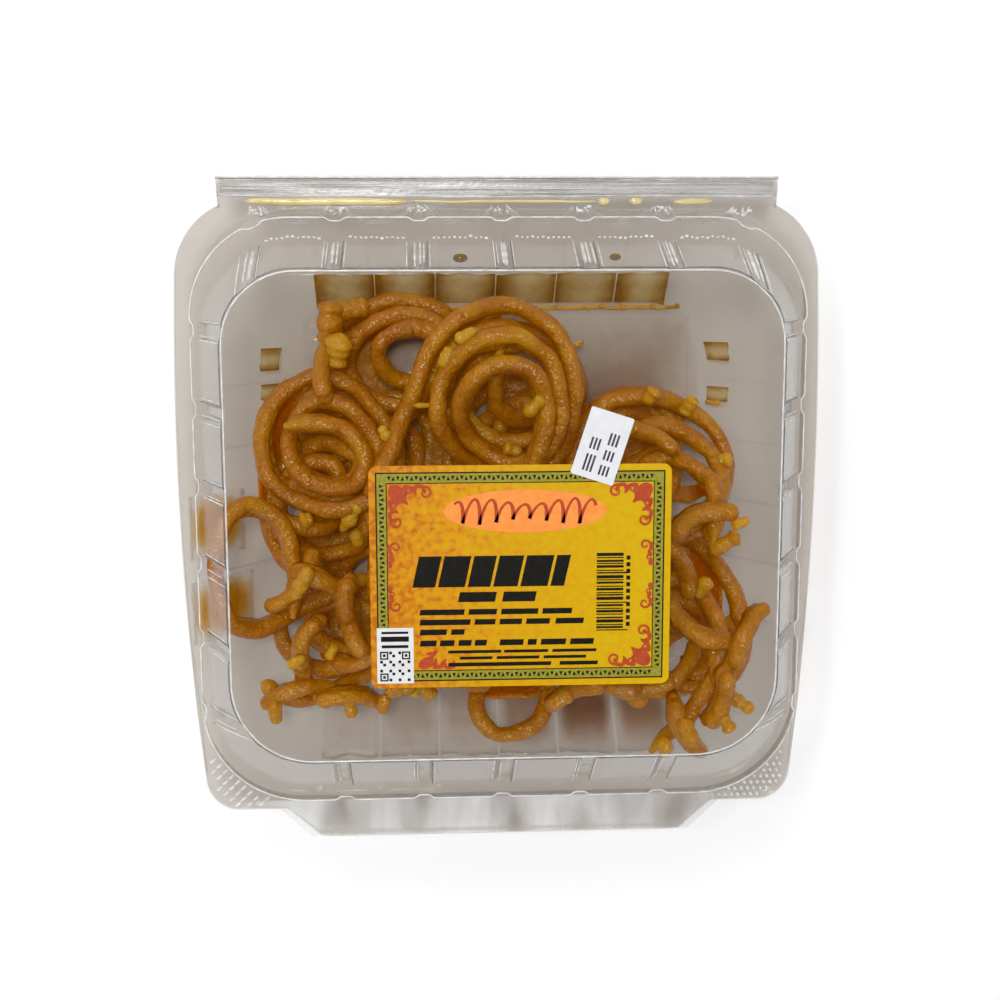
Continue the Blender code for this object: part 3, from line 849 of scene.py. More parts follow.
# ---------------------------------------------------------------- small parts of the plastic
def tube(line, radius, around=6, flat=1.0):
    """Points and faces of a closed thin tube along a line; radius is a number or a function."""
    line = np.asarray(line, float)
    _, sides, ups = turned_frames(line)
    points = []
    for i, centre in enumerate(line):
        size = radius(i / (len(line) - 1)) if callable(radius) else radius
        for k in range(around):
            angle = math.tau * k / around
            across = sides[i] * math.cos(angle) * size
            points.append(centre + across + ups[i] * math.sin(angle) * size * flat)
    last = (len(line) - 1) * around
    ends = [tuple(range(around))[::-1], tuple(range(last, last + around))]
    return points, tube_faces(len(line), around) + ends


def swell(radius, low, high, power=1.0):
    """A tube's radius that grows towards its middle."""
    return lambda t: radius * (low + high * math.sin(math.pi * t) ** power)


def ripple(radius, low, high, scale, seed):
    """A tube's radius that changes unevenly along it."""
    return lambda t: radius * (low + high * abs(noise.noise(Vector((t * scale, seed, 0)))))


def bead(centre, size, around=8, rings=5):
    """A small ball; size is its half length along each axis."""
    points = [(centre[0], centre[1], centre[2] - size[2])]
    for r in range(1, rings):
        lean = math.pi * r / rings
        for k in range(around):
            turn = math.tau * k / around
            x = centre[0] + size[0] * math.sin(lean) * math.cos(turn)
            y = centre[1] + size[1] * math.sin(lean) * math.sin(turn)
            points.append((x, y, centre[2] - size[2] * math.cos(lean)))
    points.append((centre[0], centre[1], centre[2] + size[2]))
    faces = []
    for k in range(around):
        j = (k + 1) % around
        faces.append((0, 1 + j, 1 + k))
        for r in range(rings - 2):
            a, b = 1 + r * around, 1 + (r + 1) * around
            faces.append((a + k, a + j, b + j, b + k))
        top = 1 + (rings - 2) * around
        faces.append((top + k, top + j, len(points) - 1))
    return points, faces


def on_wall(wall, side, place, z, inwards=0.0):
    """A point on a grooved wall, at a place along one side and a height."""
    low, high, z0, z1 = wall
    share = (z - z0) / (z1 - z0)
    outline = Outline(*[a + (b - a) * share for a, b in zip(low, high)])
    x, y, angle = outline.at(side, place)
    return x - inwards * math.cos(angle), y - inwards * math.sin(angle), z


def ring_line(outline, z, depth, radius):
    """A thin tube all round the lid, along one of its rings."""
    line = ring(Outline(*outline), z, depth, LID_STATIONS)
    thinned = [line[0]]
    for point in line[1:]:
        if math.dist(point, thinned[-1]) > 0.0006:
            thinned.append(point)
    return tube(thinned + [thinned[0]], radius)


def up_lid(side, place, low, top, inwards):
    """A line up the lid's wall between two heights."""
    return [
        on_wall(LID_WALL, side, place, low + (top - low) * k / 7, inwards) for k in range(8)
    ]


def groove_creases(side, index, middle):
    """White lines up one groove of the lid: painted highlights along its creases."""
    spots = [(-0.0036, 0.00030), (-0.0018, 0.00022), (0.0036, 0.00026)]
    if side == "hinge":
        spots += [(-0.0008, 0.00050), (0.0003, 0.00055), (0.0014, 0.00042)]
    for number, (away, radius) in enumerate(spots):
        jitter = 0.0005 * math.sin(index * 2.7 + number * 1.9)
        low = LEDGE_Z + 0.0010 + 0.0012 * abs(math.sin(index * 1.3 + number))
        top = LID_TOP - 0.0026 - 0.0030 * abs(math.sin(index * 2.1 + number * 0.7))
        if abs(away) > 0.003:
            low, top = LEDGE_Z - 0.0004, LID_TOP - 0.0016
        line = up_lid(side, middle + away + jitter, low, top, 0.0001)
        yield tube(line, swell(radius, 0.55, 0.45))


def scallop(middle, half):
    """The white arcs between two grooves behind the ledge, and the row of dots over them: painted
    highlights.
    """
    for lane, (shift, radius) in enumerate(((0.0, 0.00042), (0.0009, 0.00026), (-0.0008, 0.00022))):
        line = []
        for step in range(29):
            share = step / 28 * 2 - 1
            sag = 0.0042 * (1 - abs(share) ** 3.0)
            x = middle + share * half * 1.12
            uneven = 0.0008 * noise.noise(Vector((x * 500, lane * 9.0, 0)))
            line.append((x, 0.1083 - sag + shift + uneven, 0.0405 + sag - shift * 0.5))
        yield tube(line, ripple(radius, 0.6, 0.9, 9, middle * 99))
    for step in range(11):
        x = middle + (step / 10 * 2 - 1) * half * 0.86
        jitter = noise.noise(Vector((x * 900, 3.0, 0)))
        y = on_wall(LID_WALL, "hinge", x, LEDGE_Z)[1] + 0.0008 + 0.0008 * jitter
        size = 0.00042 + 0.00045 * abs(jitter)
        yield bead((x, y, LEDGE_Z + 0.0003), (size * 1.3, size, size), 6, 4)


def groove_foot(k):
    """Short white lines and dots behind the foot of one groove: painted highlights."""
    for number in range(4):
        turn = k * 1.7 + number * 2.4
        x = LID_GROOVE_PITCH * k + 0.0013 * (number - 1.5) + 0.0004 * math.sin(turn)
        reach = 0.0011 + 0.0007 * math.sin(turn * 0.7)
        line = [
            (x + 0.0005 * math.sin(turn + 2 * t), 0.1073 + reach * t, 0.0425)
            for t in (-1, -0.4, 0.3, 1)
        ]
        yield tube(line, swell(1.0, 0.00012, 0.00030))
        size = 0.00035 + 0.0004 * abs(math.sin(turn * 1.9))
        place = (x + 0.0006, 0.1075 + 0.0014 * math.sin(turn * 2.3), 0.0426)
        yield bead(place, (size * 1.5, size, size), 6, 4)


def build_folds(paint, shade_paint):
    """Painted highlights along the lid's creases, and painted shade beside them: its edges, groove sides,
    scallops and dots.
    """
    parts = [
        ring_line((0.0932, -0.0789, 0.0874, 0.0274, 0.0244), LID_TOP - 0.0006, 0.0, 0.00030),
        ring_line((0.1066, -0.1016, 0.1051, 0.0360, 0.0340), LEDGE_Z - 0.0016, 0.0012, 0.00028),
    ]
    shoulder = (0.0941, -0.0798, 0.0883, 0.0280, 0.0250)
    shades = [ring_line(shoulder, LID_TOP - 0.0016, 0.0006, 0.00024)]
    for side, grooves in LID_GROOVES.items():
        for index, middle in enumerate(grooves):
            parts += groove_creases(side, index, middle)
            line = up_lid(side, middle + 0.0029, LEDGE_Z + 0.001, LID_TOP - 0.003, 0.0002)
            shades.append(tube(line, 0.00022))
    for k in range(-3, 3):
        parts += scallop(LID_GROOVE_PITCH * (k + 0.5), (LID_GROOVE_PITCH - LID_GROOVE_WIDTH) / 2)
    for k in range(-3, 4):
        parts += groove_foot(k)
    piece("lid_fold_highlights", joined(parts), paint, "lid")
    piece("lid_fold_shades", joined(shades), shade_paint, "lid")


KNURL_ZONES = ((-0.1075, -0.0800, 40, 0.0021, 0.0036), (0.0780, 0.1050, 125, 0.0023, 0.0020))
KNURL_Y = (-0.1078, -0.0905)


def on_tab(x, y):
    """Whether a place lies on a front corner of the flange, between its edge and the wall."""
    x = abs(x)
    edge = FLANGE_HALF_X - FLANGE_TAPER * (y - FLANGE_WIDEST_Y) ** 2 - 0.0026
    middle_x, middle_y = edge - 0.009, TAB_Y + 0.011
    in_corner = x > middle_x and y < middle_y
    if x > edge or (in_corner and math.hypot(x - middle_x, y - middle_y) > 0.0090):
        return False
    return math.hypot(max(0.0, x - 0.0705), y + 0.0665) >= 0.0405


def build_knurls(paint):
    """The grip marks on the front corners of the flange."""
    knurls = []
    z = LID_BOTTOM + SHEET + 0.0004
    for x0, x1, lean, gap, length in KNURL_ZONES:
        cos, sin = math.cos(math.radians(lean)), math.sin(math.radians(lean))
        points, faces = bead((0, 0, 0), (length * 0.46, 0.00060, 0.00050), 8, 4)
        for row in range(int((KNURL_Y[1] - KNURL_Y[0]) / gap) + 1):
            y = KNURL_Y[0] + 0.0010 + row * gap
            for k in range(int(abs(x1 - x0) / (length * 1.2))):
                x = x0 + (k + 0.5 + 0.5 * (row % 2)) * length * 1.2
                if on_tab(x, y):
                    spun = [(x + a * cos - b * sin, y + a * sin + b * cos, z + c) for a, b, c in points]
                    knurls.append((spun, faces))
    piece("tab_knurls", joined(knurls), paint, "lid")


def build_streaks(bar_paint, lip_paint):
    """The crumpled shine of the hinge bar and of the lid's front lip, painted on thin skins over them."""
    z = LID_BOTTOM + SHEET + 0.0005
    bar = [(-0.0972, 0.1124), (0.0972, 0.1124), (0.0972, 0.1186), (-0.0972, 0.1186)]
    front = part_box("lid")[0].y + 0.0006
    half_lip = [
        (0.0700, front), (0.0815, TAB_Y + 0.0004), (0.0900, TAB_Y + 0.0016), (0.0900, TAB_Y + 0.0034)
    ]
    mirrored = [(-x, y) for x, y in half_lip[::-1]]
    lip = mirrored[-1:] + half_lip + mirrored[:-1]
    piece("hinge_bar_shine", prism(bar, z, z + 0.0001), bar_paint, "lid", False)
    piece("lip_shine", prism(lip, z, z + 0.0001), lip_paint, "lid", False)


def build_hinge(paint):
    """The living hinge between the two rims."""
    bottom, top = RIM_Z - SHEET, LID_BOTTOM + SHEET
    middle = (bottom + top) / 2
    profile = []
    for k in range(7):
        lean = math.pi * k / 6 - math.pi / 2
        profile.append((BAR_Y - 0.0002 + 0.0007 * math.cos(lean), (top - bottom) / 2 * math.sin(lean)))
    columns = 40
    points, faces = [], []
    for k in range(columns + 1):
        x = -BAR_HALF_X + 2 * BAR_HALF_X * k / columns
        points += [(x, y, middle + z) for y, z in profile]
        points += [(x, y - 0.0003, middle + z * 0.7) for y, z in profile]
    for a in range(0, columns * 14, 14):
        b = a + 14
        for k in range(6):
            faces.append((a + k, b + k, b + k + 1, a + k + 1))
            faces.append((a + 7 + k, a + 8 + k, b + 8 + k, b + 7 + k))
        faces.append((a, a + 7, b + 7, b))
        faces.append((a + 6, b + 6, b + 13, a + 13))
    last = columns * 14
    faces += [(k, k + 1, k + 8, k + 7) for k in range(6)]
    faces += [(last + k + 7, last + k + 8, last + k + 1, last + k) for k in range(6)]
    fold = piece("hinge_fold", (points, faces), paint, None)
    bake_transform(fold)


def build_hinge_folds(paint):
    """White lines along the folds of the hinge bar: painted highlights."""
    lines = []
    for y, z, radius in (
        (0.1126, 0.0404, 0.00040), (0.1139, 0.0403, 0.00018), (0.1152, 0.0404, 0.00034),
        (0.1168, 0.0403, 0.00022), (0.1181, 0.0402, 0.00030),
    ):
        line = [
            (x, y + 0.0003 * noise.noise(Vector((x * 60, y * 900, 0))), z)
            for x in np.linspace(-BAR_HALF_X + 0.002, BAR_HALF_X - 0.002, 60)
        ]
        lines.append(tube(line, ripple(radius, 0.35, 1.3, 13, y * 999)))
    piece("hinge_bar_folds", joined(lines), paint, "lid")


def build_crease_syrup(paint):
    """Syrup caught in the crease before the hinge bar."""
    pools = []
    for x0, x1, width in (
        (-0.088, -0.032, 0.0014), (-0.031, 0.034, 0.0005), (0.0345, 0.0385, 0.0015),
        (0.0455, 0.0500, 0.0014), (0.0610, 0.0745, 0.0011),
    ):
        line = [
            (x, 0.1108 + 0.0003 * noise.noise(Vector((x * 90, 0, 5))), LID_BOTTOM + SHEET + 0.0002)
            for x in np.linspace(x0, x1, max(5, int((x1 - x0) / 0.002)))
        ]
        pools.append(tube(line, swell(width, 0.35, 0.65, 0.35), 8, 0.35))
    piece("hinge_crease_syrup", joined(pools), paint, "lid")


# ---------------------------------------------------------------- syrup on the box, and films of painted shade
def patch(back, front, columns, rows):
    """A closed thin sheet between two grids of points, given column by column."""
    count = len(back)

    def at(i, j):
        return i * (rows + 1) + j

    faces = []
    for i in range(columns):
        for j in range(rows):
            quad = (at(i, j), at(i + 1, j), at(i + 1, j + 1), at(i, j + 1))
            faces.append(quad)
            faces.append(tuple(count + k for k in quad[::-1]))
    edge = [at(i, 0) for i in range(columns)] + [at(columns, j) for j in range(rows)]
    edge += [at(i, rows) for i in range(columns, 0, -1)] + [at(0, j) for j in range(rows, 0, -1)]
    for k, a in enumerate(edge):
        b = edge[(k + 1) % len(edge)]
        faces.append((b, a, count + a, count + b))
    return back + front, faces


FILM_ROWS = 7
FILM_DEPTH = 0.00015
OFF_WALL = 0.0007


def film(wall, side, x0, x1, z0, z1, seed, inwards=OFF_WALL):
    """A thin closed patch on a wall, for syrup and for films of painted shade, thicker at its sides and
    with an uneven edge.
    """
    columns, rows = max(8, int(abs(x1 - x0) / 0.0012)), FILM_ROWS
    back, front, thick = [], [], []
    for i in range(columns + 1):
        for j in range(rows + 1):
            u, v = i / columns, j / rows
            wobble = 0.0008 * noise.noise(Vector((u * 3 + seed, v * 3, seed)))
            place = x0 + (x1 - x0) * u + (wobble if 0 < u < 1 else 0.0)
            z = z0 + (z1 - z0) * v + (wobble * 1.5 if j == rows else 0.0)
            bulge = 0.0005 * math.sin(math.pi * u) * math.sin(math.pi * v)
            back.append(on_wall(wall, side, place, z, inwards))
            front.append(on_wall(wall, side, place, z, inwards + FILM_DEPTH + bulge))
            uneven = 0.25 * noise.noise(Vector((u * 2 + seed, 9.0, seed)))
            deep = abs(2 * u - 1 + uneven) ** 2.2 + 0.35 * max(0, 0.35 - v)
            thick.append(min(1.0, deep))
    return (*patch(back, front, columns, rows), thick + thick)


def refilled(made, share):
    """A film with its thickness given by share(u, v) at each place instead."""
    points, faces, thick = made
    columns = len(thick) // (2 * FILM_ROWS + 2) - 1
    values = [
        share(i / columns, j / FILM_ROWS) for i in range(columns + 1) for j in range(FILM_ROWS + 1)
    ]
    return points, faces, values + values


def build_films(paint, smear_paint):
    """Amber panes behind the rear grooves, spots at the sides and smears on the left wall."""
    films = []
    half = (BASE_GROOVE_PITCH - BASE_GROOVE_WIDTH) / 2
    for index in range(6):
        last = index == 5
        middle = BASE_GROOVE_PITCH * (index - 2.5) - (0.0012 if last else 0.0)
        reach = half * (1.12 if last else 1.28)
        ends = (middle - reach, middle + reach, 0.0036, 0.0155)
        films.append(film(BASE_WALL, "hinge", *ends, 3.1 * index))
    for side, y0, y1, top, seed in (
        ("left", 0.0500, 0.0585, 0.0115, 21.0), ("left", 0.0392, 0.0450, 0.0115, 22.0),
        ("right", 0.0530, 0.0600, 0.0120, 23.0), ("right", 0.0375, 0.0430, 0.0120, 24.0),
    ):
        films.append(film(BASE_WALL, side, y0, y1, 0.0036, top, seed))
    food_piece("syrup_films", films, paint)

    def round_spot(u, v):
        return max(0.0, 1 - (2 * u - 1) ** 2 - (2 * v - 1) ** 2) ** 0.7

    smears = [
        film(BASE_WALL, "left", -0.0460, -0.0230, 0.0170, 0.0430, 25.0),
        film(BASE_WALL, "left", -0.0150, 0.0080, 0.0200, 0.0430, 26.0),
    ]
    food_piece("syrup_smears", [refilled(made, round_spot) for made in smears], smear_paint)


def floor_shade_film():
    """A thin amber-brown film on the box's floor: painted shade and painted reflection of the heap,
    thickest to the right and to the front.
    """
    columns, rows = 44, 40
    back, front, thick = [], [], []
    for i in range(columns + 1):
        for j in range(rows + 1):
            u, v = i / columns, j / rows
            x, y = -0.072 + 0.146 * u, -0.0640 + 0.133 * v
            z = 0.0016 + 0.0006 * (max(abs(x), abs(y)) / 0.07) ** 6
            back.append((x, y, z))
            front.append((x, y, z + FILM_DEPTH))
            fade = min(1.0, 5 * u, 5 * (1 - u), 6 * v + 0.4, 4 * (1 - v))
            uneven = 0.22 * noise.noise(Vector((x * 28, y * 28, 2.0)))
            deep = 0.14 + 0.55 * u * u + 0.55 * max(0.0, 0.5 - v) + uneven
            thick.append(fade * min(1.0, max(0.0, deep)))
    return (*patch(back, front, columns, rows), thick + thick)


def build_heap_shade(paint):
    """Painted shade and painted reflection of the heap: films behind the front grooves, darker to the
    right, and one on the floor.
    """
    shade_patches = []
    reach = (BASE_GROOVE_PITCH - BASE_GROOVE_WIDTH) / 2 * 1.25
    for index, most in enumerate((0.10, 0.22, 0.28, 0.60, 1.0, 0.85)):

        def share(u, v, most=most):
            return most * min(1.0, 5 * u, 5 * (1 - u)) * min(1.0, 2.2 * (1 - v))

        middle = BASE_GROOVE_PITCH * (index - 2.5)
        ends = (middle - reach, middle + reach, 0.0040, 0.0300)
        shade_patches.append(refilled(film(BASE_WALL, "front", *ends, 41.0 + index), share))
    food_piece("heap_shade_films", shade_patches + [floor_shade_film()], paint)


def build_syrup_line(paint):
    """The bright line and beads of syrup at the foot of the rear wall, and two bright edges."""
    bright = [
        film(BASE_WALL, "left", 0.0384, 0.0398, 0.0036, 0.0105, 31.0, 0.0012),
        film(BASE_WALL, "right", 0.0360, 0.0376, 0.0036, 0.0095, 32.0, 0.0012),
    ]
    line = [
        (x, 0.0728 + 0.0004 * noise.noise(Vector((x * 120, 7.0, 0))), 0.0028)
        for x in np.linspace(-0.046, 0.070, 70)
    ]

    def radius(t):
        return 0.0007 + 0.0003 * noise.noise(Vector((t * 31, 4.0, 0)))

    bright.append(tube(line, radius, 8, 0.6))
    for k in range(26):
        x = -0.046 + 0.116 * (k + 0.5 + 0.4 * math.sin(k * 2.3)) / 26
        size = 0.0005 + 0.0006 * abs(math.sin(k * 1.7 + 0.4)) ** 2
        bright.append(bead((x, 0.0728 + 0.0007 * math.sin(k * 3.1), 0.0034), (size, size, size)))
    piece("syrup_line", joined(bright), paint, "base")


def build_drops(paint):
    """Two drops of syrup on the lid's rear wall."""
    drops = []
    for x, z, size in ((-0.0145, 0.0650, 0.0025), (0.0375, 0.0645, 0.0020)):
        place = on_wall(LID_WALL, "hinge", x, z, SHEET + 0.0005)
        drops.append(bead(place, (size, size * 0.6, size), 14, 8))
    piece("syrup_drops", joined(drops), paint, "lid")


# ---------------------------------------------------------------- label
LABEL_SIZE = (0.1016, 0.0762)
LABEL_CENTRE = (0.0050, -0.0148)
LABEL_CORNER = 0.0028
CARD_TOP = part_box("label")[1].z
STICKER_SIZE = (0.0150, 0.0235)
STICKER_CENTRE = (0.0322, 0.0294)
STICKER_TURN = math.radians(-18)
STICKER_Z = (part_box("date_sticker")[0].z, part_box("date_sticker")[1].z)
# Heights of the ink over the card: its lowest and its highest point, layer by layer.
FIELD_INK = (0.00002, 0.00005)
LINE_INK = (0.00007, 0.00009)
BAR_INK = (0.00007, 0.00010)
HOOK_INK = (0.00018, 0.00020)
PATCH_PAPER = (0.00011, 0.00014)
PATCH_INK = (0.00016, 0.00018)
LEAF_STEP = 0.0000011
LABEL_W, LABEL_H = LABEL_SIZE[0] * 1000, LABEL_SIZE[1] * 1000


def round_card(width, height, radius, steps=6):
    """The outline of a card with round corners, about its middle."""
    points = []
    for quarter, (sx, sy) in enumerate(((1, 1), (-1, 1), (-1, -1), (1, -1))):
        for k in range(steps + 1):
            angle = math.tau / 4 * (quarter + k / steps)
            x = sx * (width / 2 - radius) + radius * math.cos(angle)
            points.append((x, sy * (height / 2 - radius) + radius * math.sin(angle)))
    return points


def prism(outline, z0, z1):
    """A closed flat solid over an outline that turns to the left."""
    count = len(outline)
    area = sum(
        outline[i][0] * outline[(i + 1) % count][1] - outline[(i + 1) % count][0] * outline[i][1]
        for i in range(count)
    )
    if area < 0:
        outline = outline[::-1]
    points = [(x, y, z0) for x, y in outline] + [(x, y, z1) for x, y in outline]
    faces = [tuple(range(count))[::-1], tuple(range(count, 2 * count))]
    for i in range(count):
        j = (i + 1) % count
        faces.append((i, j, count + j, count + i))
    return points, faces


def strip(points, widths, z0, z1):
    """A closed flat ribbon along a path."""
    points = np.asarray(points, float)
    along = np.gradient(points, axis=0)
    along /= np.linalg.norm(along, axis=1)[:, None]
    across = np.column_stack([-along[:, 1], along[:, 0]])
    left = points + across * np.asarray(widths)[:, None] / 2
    right = points - across * np.asarray(widths)[:, None] / 2
    count = len(points)
    made = [(*p, z1) for p in left] + [(*p, z1) for p in right]
    made += [(*p, z0) for p in left] + [(*p, z0) for p in right]
    faces = []
    for i in range(count - 1):
        a, b, c, d = i, i + 1, count + i, count + i + 1
        faces.append((a, c, d, b))
        faces.append((2 * count + a, 2 * count + b, 2 * count + d, 2 * count + c))
        faces.append((a, b, 2 * count + b, 2 * count + a))
        faces.append((c, 2 * count + c, 2 * count + d, d))
    faces.append((0, 2 * count, 3 * count, count))
    faces.append((count - 1, 2 * count - 1, 4 * count - 1, 3 * count - 1))
    return made, faces


def on_label(points):
    """From millimetres from the label's front left corner to a place on the lid."""
    x0, y0 = LABEL_CENTRE[0] - LABEL_SIZE[0] / 2, LABEL_CENTRE[1] - LABEL_SIZE[1] / 2
    return [(x0 + u / 1000, y0 + v / 1000) for u, v in points]


def box_outline(u0, v0, u1, v1, slant=0.0):
    return [(u0, v0), (u1, v0), (u1 + slant * (v1 - v0), v1), (u0 + slant * (v1 - v0), v1)]


def frame_bars(inset, width):
    """Four bars of a square-cornered frame, in millimetres on the label."""
    a, b = inset, inset + width
    outer = [(a, a), (LABEL_W - a, a), (LABEL_W - a, LABEL_H - a), (a, LABEL_H - a)]
    inner = [(b, b), (LABEL_W - b, b), (LABEL_W - b, LABEL_H - b), (b, LABEL_H - b)]
    return [
        [outer[k], outer[(k + 1) % 4], inner[(k + 1) % 4], inner[k]] for k in range(4)
    ]


def leaf(u, v, heading, length, width):
    """A teardrop with its round end at (u, v)."""
    turn = math.radians(heading)
    points = []
    for k in range(14):
        t = math.tau * k / 14
        along = length * (0.5 - 0.5 * math.cos(t))
        across = width * 0.62 * math.sin(t) * (1 - 0.55 * (along / length) ** 1.2)
        points.append(
            (u + along * math.cos(turn) - across * math.sin(turn),
             v + along * math.sin(turn) + across * math.cos(turn))
        )
    return points


def hook(u, v, heading, radius, turns, width, way=1):
    """A stroke that leaves (u, v) at a heading and rolls up into a spiral."""
    count = max(12, int(abs(turns) * 22))
    points, widths, turn = [(u, v)], [width], math.radians(heading)
    for k in range(count):
        share = (k + 0.5) / count
        reach = radius * (1 - 0.68 * share)
        step = abs(turns) * math.tau / count
        turn += way * step
        u += reach * step * math.cos(turn)
        v += reach * step * math.sin(turn)
        points.append((u, v))
        widths.append(width * (1 - 0.45 * share) * (1.35 if share > 0.92 else 1.0))
    return points, widths


# Corner ornament, in millimetres from the corner of the label's field, mirrored about its
# diagonal: leaves (place along, place in, heading, length, width) and hooks (place, heading,
# radius, turns, width, way).
CORNER_LEAVES = (
    (0.6, 0.6, 45, 5.6, 3.0), (3.4, 0.8, 66, 4.4, 1.9), (1.4, 0.5, 20, 4.8, 1.8),
    (5.6, 0.6, 78, 3.4, 1.6), (5.0, 0.6, 8, 4.4, 1.5), (7.8, 0.6, 60, 3.6, 1.6),
    (9.4, 0.5, 100, 2.4, 1.3), (9.0, 0.5, 4, 4.0, 1.4), (11.6, 0.7, 70, 2.6, 1.2),
    (4.4, 4.4, 45, 3.4, 1.7), (3.0, 5.2, 20, 2.8, 1.1),
)
CORNER_HOOKS = (
    (12.4, 0.8, -8, 2.0, 1.15, 0.85, 1), (5.6, 2.4, 60, 1.3, 1.1, 0.7, -1),
)
SIDE_LEAVES = (
    (0.4, 0.0, 90, 2.6, 1.8), (0.5, 3.0, 75, 2.8, 1.5), (0.4, 5.2, 96, 3.0, 1.6),
)
SIDE_HOOKS = ((0.7, 7.4, 82, 1.7, 1.0, 0.8, -1), (0.4, 3.6, 40, 1.0, 0.9, 0.55, -1))


def scrolls():
    """Leaves and hooks of the corner and side scrolls, in millimetres on the label."""
    field, beside_patch = 6.3, 9.4
    leaves, hooks = [], []
    for mirror_u, mirror_v in ((False, False), (False, True), (True, False), (True, True)):

        def placed(points, u0, v0, swapped=False, upward=1):
            """Points from a corner of the field or from a side, mirrored to where they lie."""
            made = []
            for a, b in points:
                a, b = (b, a) if swapped else (a, b)
                u, v = u0 + a, v0 + b * upward
                made.append((LABEL_W - u if mirror_u else u, v))
            return made

        def in_corner(points, u0, swapped):
            made = placed(points, u0, field, swapped)
            return [(u, LABEL_H - v if mirror_v else v) for u, v in made]

        by_patch = not mirror_u and not mirror_v
        for swapped in (False,) if by_patch else (False, True):
            u0 = field + (beside_patch if by_patch else 0.0)
            leaves += [in_corner(leaf(*values), u0, swapped) for values in CORNER_LEAVES]
            if not by_patch:
                for values in CORNER_HOOKS:
                    path, widths = hook(*values)
                    hooks.append((in_corner(path, u0, swapped), widths))
        upward = 1 if mirror_v else -1
        middle = (39.5 if mirror_v else 37.5) + 2.0 * upward
        leaves += [placed(leaf(*values), field, middle, False, upward) for values in SIDE_LEAVES]
        for values in SIDE_HOOKS:
            path, widths = hook(*values)
            hooks.append((placed(path, field, middle, False, upward), widths))
    return leaves, hooks


def printed(name, outlines, ink_heights, paint):
    """A layer of flat shapes on the label, in millimetres."""
    low, high = ink_heights
    parts = [prism(on_label(shape), CARD_TOP + low, CARD_TOP + high) for shape in outlines]
    piece(name, joined(parts), paint, "lid", False)


def triangles(start, end, middle, upright):
    """A row of small triangles that point up and down in turn."""
    count = int((end - start) / 1.5)
    shapes = []
    for k in range(count):
        along = start + (end - start) * (k + 0.5) / count
        rise = 0.75 if k % 2 else -0.75
        shape = [(along - 0.6, middle - rise), (along + 0.6, middle - rise), (along, middle + rise)]
        shapes.append([(v, u) for u, v in shape] if upright else shape)
    return shapes


def build_band(olive, black):
    """The label's border: a plain ring, thin lines and rows of triangles."""
    printed("label_band_ring", frame_bars(2.6, 3.2), FIELD_INK, olive)
    shapes = frame_bars(2.2, 0.45) + frame_bars(5.75, 0.30)
    for v in (4.2, LABEL_H - 4.2):
        shapes += triangles(6.0, LABEL_W - 6.0, v, False)
    for u in (4.2, LABEL_W - 4.2):
        shapes += triangles(6.0, LABEL_H - 6.0, u, True)
    printed("label_band_pattern", shapes, LINE_INK, black)


def build_scrolls(paint):
    """The ornament in the corners and at the sides, and the scribble on the oval."""
    leaves, hooks = scrolls()
    parts = []
    for index, path in enumerate(leaves):
        top = CARD_TOP + LINE_INK[0] + LEAF_STEP * index
        parts.append(prism(on_label(path), top - 0.00002, top))
    for path, widths in hooks:
        low, high = CARD_TOP + HOOK_INK[0], CARD_TOP + HOOK_INK[1]
        parts.append(strip(on_label(path), [width / 1000 for width in widths], low, high))
    wave, widths = [], []
    for k in range(121):
        t = k / 120
        rise = (3.4 + 1.0 * math.sin(t * 9)) * math.sin(t * 52.0 + 0.9)
        wave.append((28.5 + 46.5 * t + 1.1 * math.sin(t * 52.0), 60.4 + rise))
        widths.append(0.00075 + 0.00055 * abs(math.sin(t * 26)))
    parts.append(strip(on_label(wave), widths, CARD_TOP + BAR_INK[0], CARD_TOP + BAR_INK[1]))
    piece("label_scrolls", joined(parts), paint, "lid", False)


# Bars in place of the words: (place up, height, ends of each bar), in millimetres.
WORD_BARS = (
    (25.2, 1.9, ((16.5, 31.5), (33.0, 42.5), (44.0, 56.5), (58.0, 68.0))),
    (21.7, 1.9, ((16.5, 33.5), (35.0, 42.0), (43.5, 51.0), (52.5, 60.5), (62.5, 72.0))),
    (18.3, 1.9, ((16.5, 25.5), (27.0, 31.5))),
    (14.4, 2.0, ((16.5, 22.0), (23.2, 28.0), (29.5, 33.8), (35.0, 39.0), (43.5, 51.5),
                 (53.0, 56.0), (57.5, 66.0), (67.5, 75.5))),
    (11.8, 1.0, ((26.0, 44.0), (45.0, 60.0), (61.5, 76.5))),
    (9.6, 1.0, ((30.0, 41.0), (42.5, 57.0), (58.5, 73.0))),
    (7.2, 1.3, ((26.0, 61.0), (64.0, 77.0))),
)


def build_bars(paint):
    """Plain bars in place of the label's words and of its bar code."""
    bars = []
    u = 14.2
    for width in (7.6, 9.0, 7.6, 8.2, 9.2, 4.6):
        bars.append((u, 34.8, u + width, 45.4, 0.22))
        u += width + 1.0
    bars += [(29.5, 29.6, 42.0, 33.0, 0.2), (44.4, 29.6, 55.5, 33.0, 0.2)]
    for v, height, words in WORD_BARS:
        bars += [(u0, v, u1, v + height, 0.15) for u0, u1 in words]
    v = 19.0
    turn = 0
    while v < 46.0:
        thick = (0.35, 0.7, 0.35, 1.05, 0.5, 0.35, 0.85)[turn % 7]
        bars.append((76.5, v, 85.6 if turn % 9 else 87.2, v + thick))
        v += thick + (0.45, 0.35, 0.6, 0.4, 0.75)[turn % 5]
        turn += 1
    bars += [(86.6, 20.5 + 2.3 * k, 87.9, 21.9 + 2.3 * k) for k in range(11)]
    printed("label_bars", [box_outline(*bar) for bar in bars], BAR_INK, paint)


